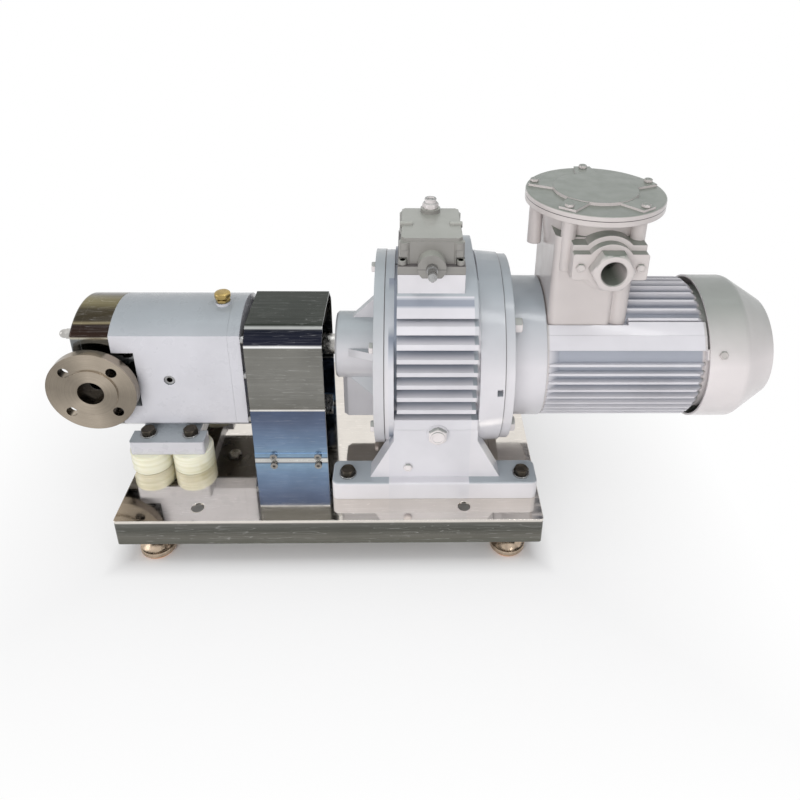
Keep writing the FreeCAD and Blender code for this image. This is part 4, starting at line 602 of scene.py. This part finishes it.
# %% Soft and moulded finishes
def nylon_finish(name):
    """Cream bar: waxy light under the skin, turning rings and a few brown marks."""
    colour = linear(234, 233, 218)
    f = Finish(name, colour, roughness=0.34, Subsurface_Weight=0.2, Subsurface_Scale=0.005)
    f.shader.inputs["Subsurface Radius"].default_value = (1.0, 0.8, 0.5)
    mark = f.ramp(f.noise(26.0, 5.0), [(0.3, linear(212, 206, 174)), (0.44, linear(255, 255, 250))])
    band = f.ramp(f.noise(1.0, 2.0, f.stretched((8.0, 8.0, 260.0))),
                  [(0.35, linear(226, 224, 198)), (0.6, linear(255, 255, 252))])
    f.colour(f.mix(0.6, f.mix(0.5, colour, mark, "MULTIPLY"), band, "MULTIPLY"))
    f.bump(f.noise(1.0, 2.0, f.stretched((12.0, 12.0, 900.0))), 0.3, 0.12)
    return f.done()


def moulded(name, colour, roughness=0.6):
    """Rubber or plastic from a mould: cloudy, dull and grainy."""
    f = Finish(name, colour, roughness=roughness)
    f.colour(f.mix(0.5, colour, f.ramp(f.noise(90.0, 4.0), [(0.3, 0.55), (0.7, 1.0)]), "MULTIPLY"))
    f.bump(f.noise(500.0, 3.0), 0.3, 0.1)
    return f.done()


nylon = nylon_finish("nylon")
rubber = moulded("black_rubber", linear(34, 33, 32))
brown_rubber = moulded("brown_rubber", linear(214, 150, 92), 0.5)
fan_plastic = moulded("fan_plastic", linear(52, 52, 54), 0.5)
print("finishes", len(bpy.data.materials))

# %% [markdown]
# ## Foot bolts
# Eight M10 bolts hold the pump's foot plate and the variator's feet to the tray, each with a washer
# under its head and a nut below the sheet. They are plain black steel, forged to a hexagon and then
# chamfered in a lathe, so each head is turned here from a profile that meets six flats.

# %% Bolts, washers and nuts of the feet
UP, DOWN, FRONT, LEFT, RIGHT = (0, 0, 1), (0, 0, -1), (0, -1, 0), (-1, 0, 0), (1, 0, 0)
M10_RADIUS, M10_BORE, M10_FLATS, M10_HEAD, M10_WASHER = 5.0, 5.06, 17.0, 7.0, 11.0
grids = []
for solid in solids_of("foot_bolt_sets"):
    tall = size_of(solid)[2]
    if tall < 3:
        seat, length = seated(solid, UP, tall)
        grids.append(turned(washer_rows(length, M10_BORE, M10_WASHER), seat, UP, closed=True, ink=1))
    elif tall < 12:
        seat, length = seated(solid, UP, tall)
        grids.append(turned(nut_rows(length, M10_BORE, M10_FLATS), seat, UP, closed=True))
    else:
        seat, length = seated(solid, UP, M10_HEAD)
        grids.append(turned(bolt_rows(length, M10_RADIUS, M10_HEAD, M10_FLATS), seat, UP))
piece("foot_bolts", grids, [dark_steel, zinc_steel], "frame", ["foot_bolt_sets"])

# %% [markdown]
# ## Dome nuts of the front cover
# A stainless dome nut closes each of the four studs, so that no thread shows and the head wipes
# clean. It is a hexagon with a ball on top: straight for a short neck, then a quarter circle.

# %% Dome nuts and studs
across, tall, stud_radius, stud_bore = 13.0, 16.5, 4.0, 4.1
corner, ball = across / 2 / np.cos(np.pi / 6), 0.45 * across
quarter = np.linspace(0, np.pi / 2, 12)
dome = [(tall - ball + ball * np.sin(t), ball * np.cos(t)) for t in quarter]
nut = [(0, stud_bore), (0, 0.47 * across), (0.5, 0.47 * across), (0.5, corner, corner), (6.0, corner, corner),
       (6.5, 0.54 * across, corner), (7.0, 0.48 * across, corner), (7.1, ball)] + dome
cavity = [(tall - ball, 0), (tall - ball, stud_bore)]
grids = []
for solid in solids_of("front_cover_studs"):
    if size_of(solid)[0] < 20:
        seat, length = seated(solid, LEFT, tall)
        grids.append(turned(cavity + nut, seat, LEFT))
    else:
        seat, length = seated(solid, LEFT, 0.0)
        rows = [(-length, 0), (-length, 3.4)] + threaded(0.6 - length, -0.6, stud_radius, 0.8)
        rows += [(0, 3.4), (0, 0)]
        grids.append(turned(rows, seat, LEFT, count=24))
piece("cover_nuts", grids, [bright_steel], "frame", ["front_cover_studs"])

# %% [markdown]
# ## Painted bolts of the variator and the motor
# The rim bolts, lid bolts and cowl screws were fitted first and sprayed over with the castings, so
# they wear the same enamel and their edges look soft.

# %% Rim bolts and motor bolts
M5, M6, M8, M12 = 2.5, 3.0, 4.0, 6.0  # shank radii
grids = []
for solid in solids_of("variator_rim_bolts"):
    inner = size_of(solid)[0] < 34
    direction, head, radius, across = (LEFT, 5.5, M8, 13.0) if inner else (RIGHT, 10.8, M12, 18.0)
    seat, length = seated(solid, direction, head)
    grids.append(turned(bolt_rows(length, radius, head, across), seat, direction))
piece("rim_bolts", grids, [cast_enamel], "frame", ["variator_rim_bolts"])

motor_middle = middle(np.concatenate(solids_of("motor_frame")))
grids = []
for solid in solids_of("motor_cover_screws"):
    at, size = middle(solid), size_of(solid)
    if size[2] > 20:
        direction, head, radius = UP, 4.2, M6
    elif size[1] > 20:
        direction, head, radius = FRONT, 4.0, M6
    else:
        direction, head, radius = (0, at[1], at[2] - motor_middle[2]), 3.5, M5
    seat, length = seated(solid, direction, head)
    grids.append(turned(bolt_rows(length, radius, head, 10.0, 1.0), seat, direction))
piece("case_screws", grids, [box_enamel], "frame", ["motor_cover_screws"])

# %% [markdown]
# ## Socket screws
# Socket-head screws hold the end cover and the control box. The head is a turned cup: the socket is
# a row of hexagon points inside the round rim, and the paint leaves it dark.

# %% Socket screws with their cups
def socket_rows(length, radius, head, across):
    """From the tip of the shank over the round head and down into its hexagon cup."""
    cup = across / 2 / np.cos(np.pi / 6)
    tip, bottom = head - length, head - 3.3
    outer = [(tip, 0), (tip, radius - 0.6), (tip + 0.6, radius), (0, radius), (0, 4.8), (0.2, 5.0),
             (head - 0.7, 5.0), (head - 0.2, 4.8), (head, 4.4), (head, cup + 0.3)]
    inner = [(head, cup + 0.3), (head - 0.3, 9.0, cup), (bottom + 0.5, 9.0, cup), (bottom, 0.5), (bottom, 0)]
    return outer, inner


grids = []
for solid in solids_of("socket_screws"):
    upright = size_of(solid)[2] > 20
    direction, head = (UP, 6.0) if upright else (RIGHT, 4.5)
    seat, length = seated(solid, direction, head)
    outer, inner = socket_rows(length, M6, head, 5.0)
    grids.append(turned(outer, seat, direction, ink=0 if upright else 1))
    grids.append(turned(inner, seat, direction, ink=2))
piece("cup_screws", grids, [control_enamel, zinc_steel, black_steel], "frame", ["socket_screws"])

# %% [markdown]
# ## Nylon spacers
# Four spools of nylon lift the pump's foot plate to the height of the variator's shaft. A spool is
# sawn off the bar, drilled and its rims broken with a light chamfer.

# %% Spacers
grids = []
for solid in solids_of("nylon_spacers"):
    seat, length = seated(solid, UP, size_of(solid)[2])
    radius = size_of(solid)[0] / 2
    lower = [(0.8, M10_BORE), (0, 5.9), (0, radius - 0.9), (0.25, radius - 0.3), (0.9, radius)]
    upper = [(length - height, out) for height, out in lower[::-1]]
    rows = lower + [(length / 2, radius)] + upper
    grids.append(turned(rows, seat, UP, count=96, closed=True))
piece("spacer_spools", grids, [nylon], "frame", ["nylon_spacers"])

# %% [markdown]
# ## Levelling feet
# Each foot is a pressed steel bell on a rubber pad, with a threaded stem that runs up through a lock
# nut into the tray. The bell's profile is flat at the rim, rises in a soft S and ends in a collar.

# %% Feet, lock nuts and pads
grids = []
for solid in solids_of("levelling_feet"):
    size = size_of(solid)
    seat, length = seated(solid, UP, size[2])
    if size[2] > 20:
        swell = np.linspace(0, 1, 12)
        bell = [(6.5 + 8.5 * (3 * t ** 2 - 2 * t ** 3), 22.6 - 12.8 * t) for t in swell]
        rows = [(2.0, 0), (2.0, 21.06), (0, 21.06), (0, 22.4), (0.6, 23.0), (5.2, 23.0), (6.2, 22.8)] + bell
        rows += [(17.5, 9.4), (18.0, 8.6), (18.0, M12)] + threaded(18.2, length - 1.0, M12, 1.6)
        rows += [(length, 5.0), (length, 0)]
        grids.append(turned(rows, seat, UP, count=64))
    else:
        grids.append(turned(nut_rows(length, M12 + 0.06, 19.0), seat, UP, closed=True, ink=1))
piece("bell_feet", grids, [bell_steel, zinc_steel], "frame", ["levelling_feet"])

grids = []
for solid in solids_of("levelling_pads"):
    seat, length = seated(solid, UP, size_of(solid)[2])
    radius = size_of(solid)[0] / 2
    rows = [(0, 0), (0, radius - 4), (0.5, radius - 4), (0.5, radius - 3), (0, radius - 3), (0, radius - 1.2),
            (0.4, radius - 0.3), (1.2, radius), (length - 0.4, radius), (length, radius - 0.4), (length, 0)]
    grids.append(turned(rows, seat, UP, count=64))
piece("foot_pads", grids, [brown_rubber], "frame", ["levelling_pads"])

# %% [markdown]
# ## Breather, plugs and gland nut
# The brass breather lets the bearing frame breathe: a hexagon to turn it by, a neck and a round cap
# with a rolled edge. The plugs of the variator are hexagons with a turned face, and the oil filler
# carries a cup at its end. The cable nut of the terminal box is a large hexagon, open in the middle.

# %% Brass breather
cap_height, flats = 14.0, 17.0
solid = solids_of("brass_breather")[0]
seat, length = seated(solid, UP, cap_height)
corner, tip = flats / 2 / np.cos(np.pi / 6), cap_height - length
rows = [(tip, 0), (tip, 4.4)] + threaded(tip + 0.8, -0.3, 5.0, 1.0)
rows += [(0, 7.8), (0.4, 7.8), (0.8, corner, corner), (3.9, corner, corner), (4.7, 8.0, corner)]
rows += [(5.0, 7.4), (5.8, 7.2), (6.2, 9.6), (6.8, 10.4), (7.6, 10.5), (8.2, 10.2), (8.6, 10.5), (11.0, 10.5)]
rows += [(12.3, 10.1), (13.2, 9.2), (13.8, 7.6), (cap_height, 5.4), (cap_height, 0)]
piece("breather_cap", [turned(rows, seat, UP, count=72)], [brass], "frame", ["brass_breather"])

# %% Plugs of the variator
grids = []
for solid in solids_of("variator_plugs"):
    size = size_of(solid)
    if size[0] > 21:
        head, flats = 8.0, 22.0
        seat, length = seated(solid, FRONT, head)
        corner, tip = flats / 2 / np.cos(np.pi / 6), head - length
        rows = [(tip, 0), (tip, 6.4), (tip + 0.6, 7.0), (0, 7.0), (0, 11.0), (0.8, 11.0),
                (1.4, corner, corner), (4.8, corner, corner), (5.8, 11.4, corner), (6.4, 10.4), (6.6, 9.2),
                (head, 9.0), (head, 6.8), (7.4, 6.4), (7.4, 0)]
        grids.append(turned(rows, seat, FRONT, turn=np.pi / 6))
    elif size[2] > 20:
        head, flats = 13.0, 18.0
        seat, length = seated(solid, UP, head)
        corner, tip = flats / 2 / np.cos(np.pi / 6), head - length
        rows = [(tip, 0), (tip, 6.2), (0, 6.9), (0, 8.6), (0.6, 9.0), (1.0, corner, corner),
                (5.6, corner, corner), (6.8, 9.4, corner), (8.0, 8.2), (8.0, 7.5), (12.4, 7.5), (head, 7.0),
                (head, 5.0), (11.4, 4.6), (11.4, 2.2), (12.4, 1.8), (12.4, 0)]
        grids.append(turned(rows, seat, UP))
    else:
        seat, length = seated(solid, FRONT, 4.0)
        grids.append(turned(bolt_rows(length, M8 - 0.06, 4.0, 10.0), seat, FRONT))
piece("hexagon_plugs", grids, [cast_enamel], "frame", ["variator_plugs"])

# %% Plugs of the bearing frame
grids = []
for solid in solids_of("frame_plugs"):
    size = size_of(solid)
    if size[2] < 15 and size[1] < 10:
        seat, length = seated(solid, FRONT, 0.0)
        cup = 3.0 / np.cos(np.pi / 6)
        outer = [(-length, 0), (-length, 6.6), (0.6 - length, 7.19), (-0.7, 7.19), (-0.1, 6.7), (0, 6.0),
                 (0, cup + 0.4)]
        inner = [(0, cup + 0.4), (-0.4, 9.0, cup), (-4.4, 9.0, cup), (-4.8, 0.5), (-4.8, 0)]
        grids.append(turned(outer, seat, FRONT, ink=0))
        grids.append(turned(inner, seat, FRONT, ink=1))
    else:
        seat, length = seated(solid, DOWN, 6.0)
        grids.append(turned(bolt_rows(length, M12 - 0.06, 6.0, 17.0), seat, DOWN))
piece("frame_screw_plugs", grids, [zinc_steel, black_steel], "frame", ["frame_plugs"])

# %% Cable nut of the terminal box
flats, bore = 46.0, 15.0
solid = solids_of("gland_nut")[0]
seat, length = seated(solid, FRONT, size_of(solid)[1])
corner = flats / 2 / np.cos(np.pi / 6)
rows = [(0, bore), (0, 21.6), (1.2, 22.4), (1.6, corner, corner), (length - 4.6, corner, corner),
        (length - 2.2, 24.4, corner), (length - 0.4, 22.2, corner), (length, 21.2), (length, 16.4),
        (length - 1.2, 15.2), (length / 2, bore)]
hexagon = turned(rows, seat, FRONT, count=96, closed=True)
piece("cable_nut", [hexagon], [box_enamel], "frame", ["gland_nut"])

# %% [markdown]
# ## Finishes on the solids
# Every solid gets the finish of its real counterpart, by the material slot that the record names for
# it. A few solids of one slot look different in use, so they are named one by one.

# %% Dress the CAD nodes
by_slot = {"polished_steel": tray_steel, "pump_steel": pump_steel, "grey_paint": smooth_enamel,
           "light_paint": cast_enamel, "nylon": nylon, "dark_bolt": dark_steel, "zinc": zinc_steel,
           "brass": brass, "rubber": rubber, "brown_pad": brown_rubber, "iron": machined_iron,
           "copper_winding": copper, "fan_plastic": fan_plastic, "seal_faces": rubber}
by_name = {"coupling_guard": guard_steel, "process_flanges": flange_steel, "motor_frame": fin_enamel,
           "control_box": control_enamel, "variator_front_cover": nose_enamel}
by_name.update(dict.fromkeys(("guard_fixings", "speed_spindle"), zinc_steel))
by_name.update(dict.fromkeys(("front_cover_studs", "pump_drive_shaft", "carrier_shaft"), bright_steel))
by_name.update(dict.fromkeys(("terminal_box", "terminal_box_lid", "gland_flange", "gland_nut"), box_enamel))
by_name.update(dict.fromkeys(("variator_housing", "motor_drive_shield"), gear_enamel))
for part in frame["record"]["subparts"]:
    dressed = nodes[part["node"]].data
    dressed.materials.clear()
    dressed.materials.append(by_name.get(part["node"], by_slot[part["material_slot"]]))

# %% [markdown]
# ## Camera, lights and floor
# The camera stands in front of the set, a little above it, where the photograph was taken. Its place
# and turn were solved from the tray's corners, the flange's circle and the lid's circle.

# %% Camera
def camera_from(place, pitch, yaw, roll, lens, shift):
    """Camera whose forward axis has that yaw and downward pitch, then rolls about it."""
    p, y, r = radians(pitch), radians(yaw), radians(roll)
    forward = np.array([np.sin(y) * np.cos(p), np.cos(y) * np.cos(p), -np.sin(p)])
    right = np.array([np.cos(y), -np.sin(y), 0.0])
    down = np.cross(forward, right)
    right, down = np.cos(r) * right + np.sin(r) * down, -np.sin(r) * right + np.cos(r) * down
    data = bpy.data.cameras.new("photo_camera")
    data.lens = lens
    data.shift_x, data.shift_y = shift
    made = bpy.data.objects.new("photo_camera", data)
    bpy.context.scene.collection.objects.link(made)
    turn = np.eye(4)
    turn[:3, 0], turn[:3, 1], turn[:3, 2], turn[:3, 3] = right, -down, -forward, place
    made.matrix_world = Matrix(turn.tolist())
    return made


camera_place = (-0.0064, -0.8571, 0.6975 + deck)
bpy.context.scene.camera = camera_from(camera_place, 25.407, 1.608, -0.906, 33.0, (-0.03325, -0.187))
print("camera at", camera_place)

# %% [markdown]
# The room is a plain pale studio: a wide softbox in front, one above, one to the left, and a narrow
# strip at the upper right that draws thin lights along the ribs. Mirrors don't see the front lamp,
# because the polished sheets would flare.

# %% Softboxes
def softbox(name, place, target, size, watts, colour=WHITE[:3]):
    """A rectangular lamp that looks at a target."""
    data = bpy.data.lights.new(name, "AREA")
    data.shape = "RECTANGLE"
    data.size, data.size_y = size
    data.energy = watts
    data.color = colour
    made = bpy.data.objects.new(name, data)
    bpy.context.scene.collection.objects.link(made)
    made.location = place
    made.rotation_euler = (Vector(target) - Vector(place)).to_track_quat("-Z", "Y").to_euler()
    return made


front = softbox("front_softbox", (-0.6, -2.4, 1.1), (0.0, 0.0, 0.25), (2.2, 1.4), 40.0, (1.0, 0.985, 0.975))
front.visible_glossy = False
softbox("top_softbox", (0.2, 0.3, 2.4), (0.0, 0.0, 0.2), (1.8, 1.8), 9.0, (0.94, 0.98, 1.0))
softbox("left_softbox", (-2.4, -0.6, 1.0), (0.0, 0.0, 0.2), (1.0, 1.6), 9.0)
softbox("rib_strip", (0.72, -0.95, 2.1), (0.2, 0.0, 0.25), (0.16, 1.5), 6.0)
print("lamps", len(bpy.data.lights))

# %% [markdown]
# The world is mid grey for the light that falls on things, and white for the rays that see it, from
# the camera, off a mirror or through glass.

# %% World
def seeing_rays(tree):
    """1 for a ray that sees a thing: from the camera, off a mirror or through glass."""
    rays = tree.nodes.new("ShaderNodeLightPath")
    seen = rays.outputs["Is Camera Ray"]
    for kind in ("Is Glossy Ray", "Is Transmission Ray"):
        either = tree.nodes.new("ShaderNodeMath")
        either.operation = "MAXIMUM"
        tree.links.new(seen, either.inputs[0])
        tree.links.new(rays.outputs[kind], either.inputs[1])
        seen = either.outputs[0]
    return seen


def chosen(tree, fac, first, second, output):
    """The first shader where a factor is 0 and the second where it is 1."""
    choose = tree.nodes.new("ShaderNodeMixShader")
    for socket, source in zip(choose.inputs, (fac, first, second)):
        tree.links.new(source, socket)
    tree.links.new(choose.outputs[0], tree.nodes[output].inputs["Surface"])


world = bpy.data.worlds.new("studio")
bpy.context.scene.world = world
world.use_nodes = True
lit = world.node_tree
background = lit.nodes["Background"]
background.inputs["Color"].default_value = (0.36, 0.36, 0.37, 1.0)
seen = lit.nodes.new("ShaderNodeBackground")
seen.inputs["Color"].default_value = WHITE
chosen(lit, seeing_rays(lit), background.outputs[0], seen.outputs[0], "World Output")

# %% [markdown]
# The floor is lit as any floor at the tray, so it keeps the set's shadow. For the rays that see it,
# it fades to plain white by its distance past the tray's edge, quickly at first and then slowly.

# %% Floor
reach = 6.0
floor_mesh = bpy.data.meshes.new("studio_floor")
corners = [(-reach, -reach, 0), (reach, -reach, 0), (reach, reach, 0), (-reach, reach, 0)]
floor_mesh.from_pydata(corners, [], [(0, 1, 2, 3)])
floor = bpy.data.objects.new("studio_floor", floor_mesh)
bpy.context.scene.collection.objects.link(floor)
pale = Finish("pale_floor", (0.86, 0.86, 0.86, 1.0), roughness=0.9)
white = pale.tree.nodes.new("ShaderNodeEmission")
white.inputs["Color"].default_value = WHITE
white.inputs["Strength"].default_value = 1.0
edges = [pale.math("SUBTRACT", pale.off(axis, (low + high) / 2), (high - low) / 2)
         for axis, low, high in (("X", tray_low.x, tray_high.x), ("Y", tray_low.y, tray_high.y))]
past = pale.math("MAXIMUM", *edges)
quick = pale.math("MULTIPLY", pale.spread(past, -0.01, 0.02), 0.62)
slow = pale.math("MULTIPLY", pale.spread(past, 0.02, 0.3), 0.38)
fade = pale.math("MULTIPLY", pale.math("ADD", quick, slow), seeing_rays(pale.tree))
chosen(pale.tree, fade, pale.shader.outputs[0], white.outputs[0], "Material Output")
floor_mesh.materials.append(pale.done())
print("floor", 2 * reach, "m square")
bpy.context.scene.view_settings.view_transform = "Standard"
